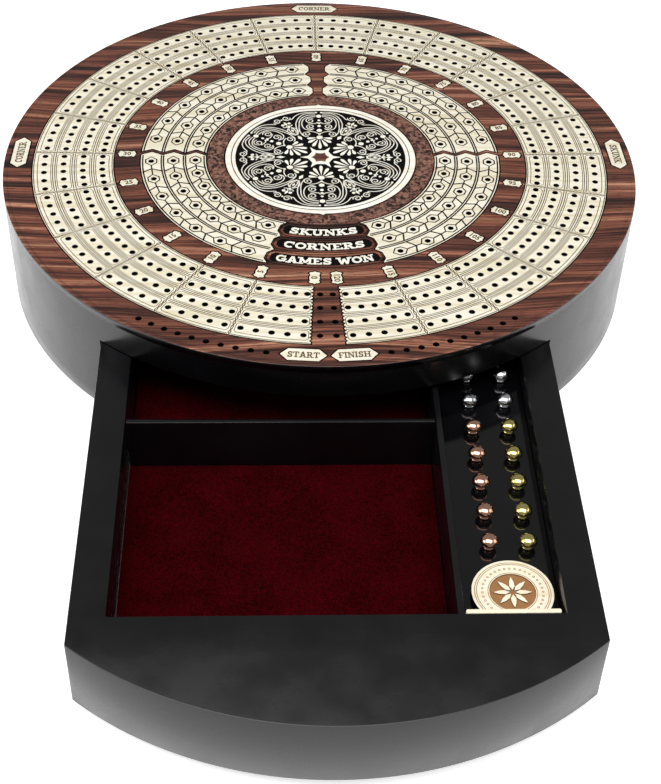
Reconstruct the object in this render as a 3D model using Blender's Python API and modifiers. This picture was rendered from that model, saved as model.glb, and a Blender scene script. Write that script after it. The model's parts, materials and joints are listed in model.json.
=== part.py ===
"""Round four-track cribbage board with a push drawer.

The drum is a base panel, two cheeks, a back block and a top panel, all lacquered black, under a
rosewood face with maple inlays. The drawer slides out of the drum towards -Y and holds two card
wells, a peg block with twenty pegs, and a round token. It is modelled pulled out.

Metres, +Z up. The origin is the centre of the base panel's underside.
"""

import math

import bmesh
import bpy

# ---------------------------------------------------------------- driving dimensions: the drum
BOARD_DIAMETER = 0.254
BASE_THICKNESS = 0.0056
TOP_PANEL_THICKNESS = 0.0107
FACE_THICKNESS = 0.003
PUSH_HOLE_DIAMETER = 0.022
BACK_CORNER_DEPTH = 0.01572
POCKET_END_SPACE = 0.0012

# ---------------------------------------------------------------- driving dimensions: the drawer
DRAWER_WIDTH = 0.1636
DRAWER_HEIGHT = 0.0275
DRAWER_KEPT_IN = 0.0695
FRONT_SIDE_DEPTH = 0.01055
SIDE_WALL = 0.0115
BACK_WALL = 0.006
DRAWER_BOTTOM = 0.004
VELVET_THICKNESS = 0.0022
FRONT_WELL_LENGTH = 0.0852
DIVIDER_THICKNESS = 0.0021
DIVIDER_DROP = 0.001
PARTITION_THICKNESS = 0.0022
PEG_BLOCK_DROP = 0.0084
TOKEN_DIAMETER = 0.026
TOKEN_THICKNESS = 0.0022
TOKEN_ROOM = 0.00265
TOKEN_OFF_CENTRE = 0.001
KEEPER_END_SPACE = 0.0013
KEEPER_WIDTH = 0.0016
KEEPER_HEIGHT = 0.003
MAGNET_DIAMETER = 0.008
MAGNET_THICKNESS = 0.003
MAGNET_OFFSET = 0.040

# ---------------------------------------------------------------- driving dimensions: the pegs
PEG_ROWS = 10
PEGS_OF_A_COLOUR = 5
PEG_COLUMN_SPACING = 0.0127
PEG_FROM_SIDE_WALL = 0.0072
PEG_FROM_TOKEN = 0.0079
PEG_FROM_BACK = 0.0056
PEG_HEAD_DIAMETER = 0.006
PEG_HEAD_HEIGHT = 0.0044
PEG_NECK_DIAMETER = 0.0026
PEG_COLLAR_DIAMETER = 0.0038
PEG_COLLAR_HEIGHT = 0.0007
PEG_SHAFT_DIAMETER = 0.0023
PEG_TIP_DIAMETER = 0.0016
PEG_HOLE_FLOOR = 0.0016
PEG_HOLE_DIAMETER = 0.0029
PEG_HOLE_EXTRA_DEPTH = 0.0006

# ---------------------------------------------------------------- driving dimensions: the inlays
INLAY_THICKNESS = 0.0012
TRACK_FROM_RIM = 0.0114
TRACK_WIDTH = 0.0324
TRACK_GAP_HALF_ANGLE = 2.9
NUMBER_BAND_WIDTH = 0.01049
SCORE_ROW_WIDTH = 0.00887
SCORE_ROWS = ("skunks", "corners", "games_won")
SCORE_FRONT_ANGLE = 17.1
SCORE_SIDE_ANGLE = 91.2
SCORE_BACK_ANGLE = 175.4
SCORE_JOINT_GAP = 0.0017
NOTCH_DEPTH = 0.0021
NOTCH_FLAT = 0.0036
JOINT_FLAT = 0.0006
PLATE_ROW_GAP = 0.0010
ENGRAVED_BAND_WIDTH = 0.0073
PLAQUE_FROM_RIM = 0.0059
PLAQUE_HEIGHT = 0.0067
PLAQUE_TIP = 0.0030
END_PLAQUE_LENGTH = 0.0172
END_PLAQUE_SPACE = 0.0006
SIDE_PLAQUE_LENGTH = 0.0218
SIDE_PLAQUE_ANGLE = 91.4

# ---------------------------------------------------------------- clearances
GLUE_GAP = 0.0003
PLATE_GAP = 0.0005
SLIDE_GAP = 0.0004
SIDE_GAP = 0.0005
CUT_PAST = 0.002

# ---------------------------------------------------------------- how finely rounds are drawn
RIM_SEGMENTS = 96
INLAY_STEP_DEG = 4.0
SMALL_ROUND = 24
PEG_SIDES = 10
HEAD_STEPS = 4

# ---------------------------------------------------------------- derived places
RADIUS = BOARD_DIAMETER / 2
DRAWER_UNDERSIDE = BASE_THICKNESS + SLIDE_GAP
DRAWER_TOP = DRAWER_UNDERSIDE + DRAWER_HEIGHT
DRAWER_MIDDLE = (DRAWER_UNDERSIDE + DRAWER_TOP) / 2
PANEL_UNDERSIDE = DRAWER_TOP + SLIDE_GAP
PANEL_TOP = PANEL_UNDERSIDE + TOP_PANEL_THICKNESS
FACE_UNDERSIDE = PANEL_TOP + GLUE_GAP
BOARD_TOP = FACE_UNDERSIDE + FACE_THICKNESS
HALF_WIDTH = DRAWER_WIDTH / 2
POCKET_HALF_WIDTH = HALF_WIDTH + SIDE_GAP
WELL_HALF_WIDTH = HALF_WIDTH - SIDE_WALL

TRACK_OUTER_RADIUS = RADIUS - TRACK_FROM_RIM
TRACK_INNER_RADIUS = TRACK_OUTER_RADIUS - TRACK_WIDTH
SCORE_OUTER_RADIUS = TRACK_INNER_RADIUS - NUMBER_BAND_WIDTH
SCORE_INNER_RADIUS = SCORE_OUTER_RADIUS - len(SCORE_ROWS) * SCORE_ROW_WIDTH
MEDALLION_RADIUS = SCORE_INNER_RADIUS - ENGRAVED_BAND_WIDTH
PLAQUE_RADIUS = RADIUS - PLAQUE_FROM_RIM
END_PLAQUE_REACH = (END_PLAQUE_LENGTH + END_PLAQUE_SPACE) / 2
END_PLAQUE_ANGLE = math.degrees(math.asin(END_PLAQUE_REACH / PLAQUE_RADIUS))

# the drawer's own frame is the board's frame with the drawer shut
DRAWER_FRONT_DEPTH = RADIUS - math.sqrt(RADIUS**2 - HALF_WIDTH**2) + FRONT_SIDE_DEPTH
FRONT_INSIDE = -RADIUS + DRAWER_FRONT_DEPTH
POCKET_END = math.sqrt(RADIUS**2 - POCKET_HALF_WIDTH**2) - BACK_CORNER_DEPTH
BACK_OUTSIDE = POCKET_END - POCKET_END_SPACE
BACK_INSIDE = BACK_OUTSIDE - BACK_WALL
DRAWER_LENGTH = RADIUS + BACK_OUTSIDE
DRAWER_TRAVEL = DRAWER_LENGTH - DRAWER_KEPT_IN
BOTTOM_TOP = DRAWER_UNDERSIDE + DRAWER_BOTTOM
LINING_UNDERSIDE = BOTTOM_TOP + GLUE_GAP
PEG_WELL_WIDTH = TOKEN_DIAMETER + 2 * TOKEN_ROOM
PARTITION_RIGHT = WELL_HALF_WIDTH - PEG_WELL_WIDTH
PARTITION_LEFT = PARTITION_RIGHT - PARTITION_THICKNESS
DIVIDER_FRONT = FRONT_INSIDE + FRONT_WELL_LENGTH
DIVIDER_BACK = DIVIDER_FRONT + DIVIDER_THICKNESS
DIVIDER_TOP = DRAWER_TOP - DIVIDER_DROP
BLOCK_TOP = DRAWER_TOP - PEG_BLOCK_DROP
PEG_SHAFT_LENGTH = BLOCK_TOP - LINING_UNDERSIDE - PEG_HOLE_FLOOR - PEG_HOLE_EXTRA_DEPTH
RIGHT_COLUMN = WELL_HALF_WIDTH - PEG_FROM_SIDE_WALL
LEFT_COLUMN = RIGHT_COLUMN - PEG_COLUMN_SPACING
TOKEN_BACK = FRONT_INSIDE + GLUE_GAP + TOKEN_DIAMETER
FIRST_ROW = TOKEN_BACK + PEG_FROM_TOKEN
PEG_PITCH = (BACK_INSIDE - PEG_FROM_BACK - FIRST_ROW) / (PEG_ROWS - 1)
KEEPER_LENGTH = PEG_WELL_WIDTH - 2 * GLUE_GAP - KEEPER_END_SPACE


def clear_scene():
    for old in list(bpy.data.objects):
        bpy.data.objects.remove(old)


def make_collection(name):
    collection = bpy.data.collections.new(name)
    bpy.context.scene.collection.children.link(collection)
    return collection


def srgb_to_linear(channel):
    if channel <= 0.04045:
        return channel / 12.92
    return ((channel + 0.055) / 1.055) ** 2.4


def finish(name, hex_colour, roughness, metallic=0.0):
    """A Principled material from an sRGB hex colour."""
    material = bpy.data.materials.new(name)
    material.use_nodes = True
    shader = material.node_tree.nodes["Principled BSDF"]
    channels = [int(hex_colour[i : i + 2], 16) / 255 for i in (1, 3, 5)]
    shader.inputs["Base Color"].default_value = [*map(srgb_to_linear, channels), 1.0]
    shader.inputs["Roughness"].default_value = roughness
    shader.inputs["Metallic"].default_value = metallic
    return material


def take(obj, name, material, collection):
    """Name an object, give it its material and move it into the collection."""
    obj.name = name
    obj.data.name = name
    obj.data.materials.clear()
    obj.data.materials.append(material)
    for old in list(obj.users_collection):
        old.objects.unlink(obj)
    collection.objects.link(obj)
    return obj


def box(name, x_span, y_span, z_span, material, collection):
    """A rectangular board between three spans."""
    spans = (x_span, y_span, z_span)
    centre = [(low + high) / 2 for low, high in spans]
    bpy.ops.mesh.primitive_cube_add(size=1, location=centre)
    obj = bpy.context.active_object
    obj.scale = [high - low for low, high in spans]
    bpy.ops.object.transform_apply(location=False, rotation=False, scale=True)
    return take(obj, name, material, collection)


def disc(name, radius, z_span, centre, sides, material, collection):
    """A round plate standing on Z."""
    low, high = z_span
    place = (centre[0], centre[1], (low + high) / 2)
    bpy.ops.mesh.primitive_cylinder_add(vertices=sides, radius=radius, depth=high - low, location=place)
    return take(bpy.context.active_object, name, material, collection)


def rod_along_y(name, radius, y_span, centre_xz, sides, material, collection):
    """A round bar lying along Y."""
    low, high = y_span
    place = (centre_xz[0], (low + high) / 2, centre_xz[1])
    bpy.ops.mesh.primitive_cylinder_add(
        vertices=sides, radius=radius, depth=high - low, location=place, rotation=(math.pi / 2, 0, 0)
    )
    return take(bpy.context.active_object, name, material, collection)


def slab(name, outline, z_span, material, collection):
    """A flat outline, drawn as a 2D curve and given its thickness, then made a mesh."""
    low, high = z_span
    curve = bpy.data.curves.new(name, "CURVE")
    curve.dimensions = "2D"
    curve.fill_mode = "BOTH"
    curve.extrude = (high - low) / 2
    spline = curve.splines.new("POLY")
    spline.points.add(len(outline) - 1)
    for point, (x, y) in zip(spline.points, outline):
        point.co = (x, y, 0, 1)
    spline.use_cyclic_u = True
    drawn = bpy.data.objects.new(name, curve)
    drawn.location.z = (low + high) / 2
    collection.objects.link(drawn)
    return mesh_of_curve(drawn, material, collection)


def mesh_of_curve(drawn, material, collection):
    name = drawn.name
    bpy.context.view_layer.update()
    evaluated = drawn.evaluated_get(bpy.context.evaluated_depsgraph_get())
    mesh = bpy.data.meshes.new_from_object(evaluated)
    welded = bmesh.new()
    welded.from_mesh(mesh)
    bmesh.ops.remove_doubles(welded, verts=welded.verts, dist=0.000001)
    bmesh.ops.recalc_face_normals(welded, faces=welded.faces)
    welded.to_mesh(mesh)
    welded.free()
    obj = bpy.data.objects.new(name, mesh)
    obj.matrix_world = drawn.matrix_world
    collection.objects.link(obj)
    bpy.data.objects.remove(drawn)
    return take(obj, name, material, collection)


def turned(name, profile, place, sides, material, collection):
    """A piece turned about Z from a profile of (radius, height), top to bottom."""
    mesh = bpy.data.meshes.new(name)
    points = [(radius, 0, height) for radius, height in profile]
    edges = [(i, i + 1) for i in range(len(points) - 1)]
    mesh.from_pydata(points, edges, [])
    obj = bpy.data.objects.new(name, mesh)
    obj.location = place
    collection.objects.link(obj)
    screw = obj.modifiers.new("turn", "SCREW")
    screw.axis = "Z"
    screw.steps = sides
    screw.render_steps = sides
    screw.use_merge_vertices = True
    screw.merge_threshold = 0.000001
    screw.use_smooth_shade = True
    return take(obj, name, material, collection)


def cut(obj, cutters):
    """Subtract closed cutters, kept as live modifiers."""
    for cutter in cutters:
        cutter.hide_render = True
        cutter.display_type = "WIRE"
        boolean = obj.modifiers.new("cut " + cutter.name, "BOOLEAN")
        boolean.operation = "DIFFERENCE"
        boolean.solver = "EXACT"
        boolean.object = cutter


def ride_on(parent, pieces):
    for piece in pieces:
        piece.parent = parent


def axis_empty(name, place, collection, parent=None):
    empty = bpy.data.objects.new(name, None)
    empty.empty_display_size = 0.01
    empty.location = place
    empty.parent = parent
    collection.objects.link(empty)
    return empty


def round_the_board(radius, angle_deg):
    """A point at an angle counted from the front (-Y) towards +X."""
    angle = math.radians(angle_deg)
    return radius * math.sin(angle), -radius * math.cos(angle)


def arc(radius, start_deg, end_deg, step_deg):
    count = max(2, round(abs(end_deg - start_deg) / step_deg) + 1)
    angles = [start_deg + (end_deg - start_deg) * i / (count - 1) for i in range(count)]
    return [round_the_board(radius, angle) for angle in angles]


def sector_outline(inner, outer, span, grow=0.0):
    """Part of a flat ring between two angles, made larger all round by grow."""
    widen = math.degrees(grow / ((inner + outer) / 2))
    start, end = span[0] - widen, span[1] + widen
    outside = arc(outer + grow, start, end, INLAY_STEP_DEG)
    inside = arc(inner - grow, end, start, INLAY_STEP_DEG)
    return outside + inside


def row_radii(row):
    inner = SCORE_INNER_RADIUS + row * SCORE_ROW_WIDTH
    return inner, inner + SCORE_ROW_WIDTH


def scalloped_end(angle_deg, flat_width, inset):
    """The end of the score inlay, inner row first: half a hexagon in each row, moved by inset."""
    points = []
    for row in range(len(SCORE_ROWS)):
        inner, outer = row_radii(row)
        middle = (inner + outer) / 2
        corner = angle_deg + math.degrees(inset / middle)
        tip = corner + math.degrees(NOTCH_DEPTH / middle)
        flat = flat_width / 2
        points.append(round_the_board(inner, corner))
        points.append(round_the_board(middle - flat, tip))
        points.append(round_the_board(middle + flat, tip))
    outermost = row_radii(len(SCORE_ROWS) - 1)[1]
    return points + [round_the_board(outermost, corner)]


def score_outline(span, flats, insets):
    """Three score rows in one inlay, with a scalloped end at each angle of the span."""
    start = scalloped_end(span[0], flats[0], insets[0])
    end = scalloped_end(span[1], flats[1], insets[1])
    inner, outer = row_radii(0)[0], row_radii(len(SCORE_ROWS) - 1)[1]
    outside = arc(outer, span[0], span[1], INLAY_STEP_DEG)[1:-1]
    inside = arc(inner, span[1], span[0], INLAY_STEP_DEG)[1:-1]
    return start + outside + end[::-1] + inside


def mirrored(outline):
    return [(-x, y) for x, y in reversed(outline)]


def plate_outline(row):
    """A word plate: it follows its row and ends in half a hexagon in each score inlay's notch."""
    inner, outer = row_radii(row)
    middle = (inner + outer) / 2
    body = SCORE_FRONT_ANGLE - math.degrees(PLATE_GAP / middle)
    tip = body + math.degrees(NOTCH_DEPTH / middle)
    low, high = inner + PLATE_ROW_GAP / 2, outer - PLATE_ROW_GAP / 2
    flat = NOTCH_FLAT / 2
    right = [round_the_board(middle + flat, tip), round_the_board(middle - flat, tip)]
    outside = arc(high, -body, body, INLAY_STEP_DEG)
    inside = arc(low, body, -body, INLAY_STEP_DEG)
    left = [(-x, y) for x, y in reversed(right)]
    return outside + right + inside + left


def grown(outline, grow):
    """The outline moved outwards by grow on every side."""
    count = len(outline)
    area = sum(
        outline[i - 1][0] * outline[i][1] - outline[i][0] * outline[i - 1][1] for i in range(count)
    )
    way = math.copysign(grow, area)
    points = []
    for i in range(count):
        before, here, after = outline[i - 1], outline[i], outline[(i + 1) % count]
        first = outward(before, here)
        second = outward(here, after)
        shared = 1 + first[0] * second[0] + first[1] * second[1]
        points.append(
            (here[0] + way * (first[0] + second[0]) / shared, here[1] + way * (first[1] + second[1]) / shared)
        )
    return points


def outward(start, end):
    """The unit normal to the right of a line."""
    run, rise = end[0] - start[0], end[1] - start[1]
    length = math.hypot(run, rise)
    return rise / length, -run / length


def plaque_outline(length, angle_deg):
    """A long hexagon lying across the board's radius."""
    reach, side = length / 2, PLAQUE_HEIGHT / 2
    shoulder = reach - PLAQUE_TIP
    back_edge = [(reach, 0), (shoulder, side), (-shoulder, side)]
    front_edge = [(-reach, 0), (-shoulder, -side), (shoulder, -side)]
    corners = back_edge + front_edge
    turn = math.radians(angle_deg)
    middle_x, middle_y = round_the_board(PLAQUE_RADIUS, angle_deg)
    cos, sin = math.cos(turn), math.sin(turn)
    return [(middle_x + x * cos - y * sin, middle_y + x * sin + y * cos) for x, y in corners]


def inlay_outlines():
    """Every flat inlay's name, outline and finish."""
    all_but_gap = (TRACK_GAP_HALF_ANGLE, 360 - TRACK_GAP_HALF_ANGLE)
    track = sector_outline(TRACK_INNER_RADIUS, TRACK_OUTER_RADIUS, all_but_gap)
    found = [("track_ring", track, "maple")]
    wide, narrow = NOTCH_FLAT, JOINT_FLAT
    front = score_outline((SCORE_FRONT_ANGLE, SCORE_SIDE_ANGLE), (wide, narrow), (0, 0))
    back_insets = (SCORE_JOINT_GAP, 0)
    back = score_outline((SCORE_SIDE_ANGLE, SCORE_BACK_ANGLE), (narrow, wide), back_insets)
    found.append(("score_inlay_front_right", front, "maple"))
    found.append(("score_inlay_back_right", back, "maple"))
    found.append(("score_inlay_front_left", mirrored(front), "maple"))
    found.append(("score_inlay_back_left", mirrored(back), "maple"))
    for row, word in enumerate(SCORE_ROWS):
        found.append((f"plate_{word}", plate_outline(row), "ebonised"))
    found.append(("plaque_start", plaque_outline(END_PLAQUE_LENGTH, -END_PLAQUE_ANGLE), "maple"))
    found.append(("plaque_finish", plaque_outline(END_PLAQUE_LENGTH, END_PLAQUE_ANGLE), "maple"))
    sides = (("corner_left", -SIDE_PLAQUE_ANGLE), ("corner_back", 180), ("skunk_right", SIDE_PLAQUE_ANGLE))
    for word, angle in sides:
        found.append((f"plaque_{word}", plaque_outline(SIDE_PLAQUE_LENGTH, angle), "maple"))
    return found


def build_drum(finishes, parts, cutters):
    """The lacquered carcase: base, cheeks, back block and top panel."""
    black = finishes["lacquer"]
    disc("base_panel", RADIUS, (0, BASE_THICKNESS), (0, 0), RIM_SEGMENTS, black, parts)
    disc("top_panel", RADIUS, (PANEL_UNDERSIDE, PANEL_TOP), (0, 0), RIM_SEGMENTS, black, parts)
    middle = (BASE_THICKNESS + GLUE_GAP, PANEL_UNDERSIDE - GLUE_GAP)
    step = 360 / RIM_SEGMENTS
    half_angle = math.degrees(math.acos(POCKET_HALF_WIDTH / RADIUS))
    slab("right_cheek", arc(RADIUS, 90 - half_angle, 90 + half_angle, step), middle, black, parts)
    slab("left_cheek", arc(RADIUS, -90 - half_angle, -90 + half_angle, step), middle, black, parts)
    build_back_block(middle, step, black, parts, cutters)


def build_back_block(middle, step, black, parts, cutters):
    """The block behind the drawer, with the push hole and a magnet in its front face."""
    edge = POCKET_HALF_WIDTH - GLUE_GAP
    turn = math.degrees(math.asin(edge / RADIUS))
    outline = arc(RADIUS, 180 - turn, 180 + turn, step) + [(-edge, POCKET_END), (edge, POCKET_END)]
    block = slab("back_block", outline, middle, black, parts)
    past_both_faces = (POCKET_END - CUT_PAST, RADIUS + CUT_PAST)
    centre = (0, DRAWER_MIDDLE)
    bore = PUSH_HOLE_DIAMETER / 2
    hole = rod_along_y("cut_push_hole", bore, past_both_faces, centre, SMALL_ROUND, black, cutters)
    deep = POCKET_END + MAGNET_THICKNESS + 2 * GLUE_GAP
    seat = rod_along_y(
        "cut_block_magnet",
        MAGNET_DIAMETER / 2 + GLUE_GAP,
        (POCKET_END - CUT_PAST, deep),
        (MAGNET_OFFSET, DRAWER_MIDDLE),
        SMALL_ROUND,
        black,
        cutters,
    )
    cut(block, [hole, seat])


def build_magnets(finishes, parts, drawer):
    """A disc magnet in the back block faces one in the drawer's back."""
    steel = finishes["magnet"]
    place = (MAGNET_OFFSET, DRAWER_MIDDLE)
    in_block = (POCKET_END + GLUE_GAP, POCKET_END + GLUE_GAP + MAGNET_THICKNESS)
    rod_along_y("block_magnet", MAGNET_DIAMETER / 2, in_block, place, SMALL_ROUND, steel, parts)
    in_drawer = (BACK_OUTSIDE - GLUE_GAP - MAGNET_THICKNESS, BACK_OUTSIDE - GLUE_GAP)
    magnet = rod_along_y("drawer_magnet", MAGNET_DIAMETER / 2, in_drawer, place, SMALL_ROUND, steel, parts)
    ride_on(drawer, [magnet])


def build_face(finishes, parts, cutters):
    """The rosewood face with its recesses, and the inlays that lie in them."""
    wood = finishes["rosewood"]
    face = disc("rosewood_face", RADIUS, (FACE_UNDERSIDE, BOARD_TOP), (0, 0), RIM_SEGMENTS, wood, parts)
    recess = (BOARD_TOP - INLAY_THICKNESS - GLUE_GAP, BOARD_TOP + CUT_PAST)
    inlay = (BOARD_TOP - INLAY_THICKNESS, BOARD_TOP)
    tools = [
        slab("cut_" + name, grown(outline, GLUE_GAP), recess, wood, cutters)
        for name, outline, _ in inlay_outlines()
    ]
    round_recess = MEDALLION_RADIUS + GLUE_GAP
    tools.append(disc("cut_medallion", round_recess, recess, (0, 0), 2 * SMALL_ROUND, wood, cutters))
    cut(face, tools)
    for name, outline, key in inlay_outlines():
        slab(name, outline, inlay, finishes[key], parts)
    disc("medallion", MEDALLION_RADIUS, inlay, (0, 0), 2 * SMALL_ROUND, finishes["maple"], parts)


def build_drawer_case(finishes, parts, cutters, drawer):
    """The drawer's front block, walls, bottom, divider and partition."""
    black = finishes["lacquer"]
    full = (DRAWER_UNDERSIDE, DRAWER_TOP)
    turn = math.degrees(math.asin(HALF_WIDTH / RADIUS))
    curve = arc(RADIUS, -turn, turn, 360 / RIM_SEGMENTS)
    outline = curve + [(HALF_WIDTH, FRONT_INSIDE), (-HALF_WIDTH, FRONT_INSIDE)]
    front = slab("drawer_front", outline, full, black, parts)
    wall_run = (FRONT_INSIDE + GLUE_GAP, BACK_OUTSIDE)
    right = box("drawer_side_right", (WELL_HALF_WIDTH, HALF_WIDTH), wall_run, full, black, parts)
    left = box("drawer_side_left", (-HALF_WIDTH, -WELL_HALF_WIDTH), wall_run, full, black, parts)
    between = (-WELL_HALF_WIDTH + GLUE_GAP, WELL_HALF_WIDTH - GLUE_GAP)
    back = box("drawer_back", between, (BACK_INSIDE, BACK_OUTSIDE), full, black, parts)
    seat = rod_along_y(
        "cut_drawer_magnet",
        MAGNET_DIAMETER / 2 + GLUE_GAP,
        (BACK_OUTSIDE - MAGNET_THICKNESS - 2 * GLUE_GAP, BACK_OUTSIDE + CUT_PAST),
        (MAGNET_OFFSET, DRAWER_MIDDLE),
        SMALL_ROUND,
        black,
        cutters,
    )
    cut(back, [seat])
    inner_run = (FRONT_INSIDE + GLUE_GAP, BACK_INSIDE - GLUE_GAP)
    bottom = box("drawer_bottom", between, inner_run, (DRAWER_UNDERSIDE, BOTTOM_TOP), black, parts)
    stands = (LINING_UNDERSIDE, DIVIDER_TOP)
    partition = box("peg_partition", (PARTITION_LEFT, PARTITION_RIGHT), inner_run, stands, black, parts)
    across = (-WELL_HALF_WIDTH + GLUE_GAP, PARTITION_LEFT - GLUE_GAP)
    divider = box("card_divider", across, (DIVIDER_FRONT, DIVIDER_BACK), stands, black, parts)
    ride_on(drawer, [front, right, left, back, seat, bottom, partition, divider])


def build_linings(finishes, parts, drawer):
    """A velvet-covered pad in the floor of each card well."""
    across = (-WELL_HALF_WIDTH + GLUE_GAP, PARTITION_LEFT - GLUE_GAP)
    thick = (LINING_UNDERSIDE, LINING_UNDERSIDE + VELVET_THICKNESS)
    front_run = (FRONT_INSIDE + GLUE_GAP, DIVIDER_FRONT - GLUE_GAP)
    back_run = (DIVIDER_BACK + GLUE_GAP, BACK_INSIDE - GLUE_GAP)
    front = box("velvet_pad_front", across, front_run, thick, finishes["velvet"], parts)
    rear = box("velvet_pad_rear", across, back_run, thick, finishes["velvet"], parts)
    ride_on(drawer, [front, rear])


def build_peg_block(finishes, parts, cutters, drawer):
    """The block that the pegs stand in, drilled for two columns."""
    across = (PARTITION_RIGHT + GLUE_GAP, WELL_HALF_WIDTH - GLUE_GAP)
    along = (FRONT_INSIDE + GLUE_GAP, BACK_INSIDE - GLUE_GAP)
    block = box("peg_block", across, along, (LINING_UNDERSIDE, BLOCK_TOP), finishes["gloss"], parts)
    drill = (BLOCK_TOP - PEG_SHAFT_LENGTH - PEG_HOLE_EXTRA_DEPTH, BLOCK_TOP + CUT_PAST)
    bore = PEG_HOLE_DIAMETER / 2
    drills = [
        disc(f"cut_hole_{number}", bore, drill, (x, y), PEG_SIDES, finishes["gloss"], cutters)
        for number, (x, y, _) in enumerate(peg_places(), 1)
    ]
    cut(block, drills)
    ride_on(drawer, [block, *drills])


def build_token(finishes, parts, drawer):
    """A round maple token on the peg block, held by a thin maple bar on the drawer front."""
    middle = (PARTITION_RIGHT + WELL_HALF_WIDTH) / 2 + TOKEN_OFF_CENTRE
    lies_on = BLOCK_TOP + GLUE_GAP
    centre = (middle, FRONT_INSIDE + GLUE_GAP + TOKEN_DIAMETER / 2)
    thick = (lies_on, lies_on + TOKEN_THICKNESS)
    maple = finishes["maple"]
    token = disc("token", TOKEN_DIAMETER / 2, thick, centre, 2 * SMALL_ROUND, maple, parts)
    start = PARTITION_RIGHT + GLUE_GAP
    run = (FRONT_INSIDE + GLUE_GAP, FRONT_INSIDE + GLUE_GAP + KEEPER_WIDTH)
    tall = (DRAWER_TOP - KEEPER_HEIGHT, DRAWER_TOP)
    keeper = box("token_keeper", (start, start + KEEPER_LENGTH), run, tall, maple, parts)
    ride_on(drawer, [token, keeper])


def peg_places():
    """Each peg's x and y in the drawer's frame, with its name, front row first."""
    places = []
    columns = ((LEFT_COLUMN, ("copper", "nickel")), (RIGHT_COLUMN, ("gold", "silver")))
    for x, colours in columns:
        for row in range(PEG_ROWS):
            colour = colours[row // PEGS_OF_A_COLOUR]
            number = row % PEGS_OF_A_COLOUR + 1
            places.append((x, FIRST_ROW + row * PEG_PITCH, f"peg_{colour}_{number}"))
    return places


def peg_profile():
    """A peg's outline from the crown of its head to its tip, from the block's top at height 0."""
    collar_low = GLUE_GAP
    collar_high = collar_low + PEG_COLLAR_HEIGHT
    half_head = PEG_HEAD_HEIGHT / 2
    head_radius = PEG_HEAD_DIAMETER / 2
    neck_radius = PEG_NECK_DIAMETER / 2
    into_neck = math.asin(neck_radius / head_radius)
    head_middle = collar_high + half_head * math.cos(into_neck)
    angles = [(math.pi - into_neck) * i / (2 * HEAD_STEPS) for i in range(2 * HEAD_STEPS + 1)]
    head = [(head_radius * math.sin(a), head_middle + half_head * math.cos(a)) for a in angles]
    body = [
        (PEG_COLLAR_DIAMETER / 2, collar_high),
        (PEG_COLLAR_DIAMETER / 2, collar_low),
        (PEG_SHAFT_DIAMETER / 2, collar_low),
        (PEG_TIP_DIAMETER / 2, collar_low - PEG_SHAFT_LENGTH),
        (0, collar_low - PEG_SHAFT_LENGTH),
    ]
    return head + body


def build_pegs(finishes, parts, drawer):
    for x, y, name in peg_places():
        colour = name.split("_")[1]
        axis = axis_empty(name + "_axis", (x, y, BLOCK_TOP), parts, drawer)
        peg = turned(name, peg_profile(), (0, 0, 0), PEG_SIDES, finishes[colour], parts)
        ride_on(axis, [peg])


def all_finishes():
    return {
        "lacquer": finish("black lacquer", "#161617", 0.22),
        "gloss": finish("black gloss lacquer", "#101012", 0.1),
        "rosewood": finish("rosewood", "#6a3b2b", 0.35),
        "maple": finish("maple", "#ece0c2", 0.45),
        "ebonised": finish("ebonised wood", "#1b1211", 0.4),
        "velvet": finish("wine velvet", "#3c060b", 0.95),
        "magnet": finish("nickel-plated magnet", "#a8a8a6", 0.3, 1.0),
        "copper": finish("polished copper", "#d59a80", 0.12, 1.0),
        "nickel": finish("polished black nickel", "#8b8c88", 0.12, 1.0),
        "gold": finish("polished gold", "#d6c36a", 0.12, 1.0),
        "silver": finish("polished silver", "#dcdce4", 0.12, 1.0),
    }


def main():
    clear_scene()
    parts = make_collection("cribbage_board")
    cutters = make_collection("cutters")
    finishes = all_finishes()
    drawer = axis_empty("drawer_slide", (0, -DRAWER_TRAVEL, 0), parts)
    build_drum(finishes, parts, cutters)
    build_face(finishes, parts, cutters)
    build_drawer_case(finishes, parts, cutters, drawer)
    build_magnets(finishes, parts, drawer)
    build_linings(finishes, parts, drawer)
    build_peg_block(finishes, parts, cutters, drawer)
    build_token(finishes, parts, drawer)
    build_pegs(finishes, parts, drawer)


main()
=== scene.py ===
# %% [markdown]
# # A round cribbage board with a drawer
#
# The real board is a lacquered black drum with a thin rosewood face. Four tracks of peg holes run
# round it on one maple inlay, more inlays keep the score, and a drawer for cards and pegs is pushed
# out of the drum from behind. The measured model is loaded first and never moved: everything here
# takes its place from it.

# %% Load the frame
import json
import math

import bpy
from mathutils import Matrix, Vector

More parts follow.
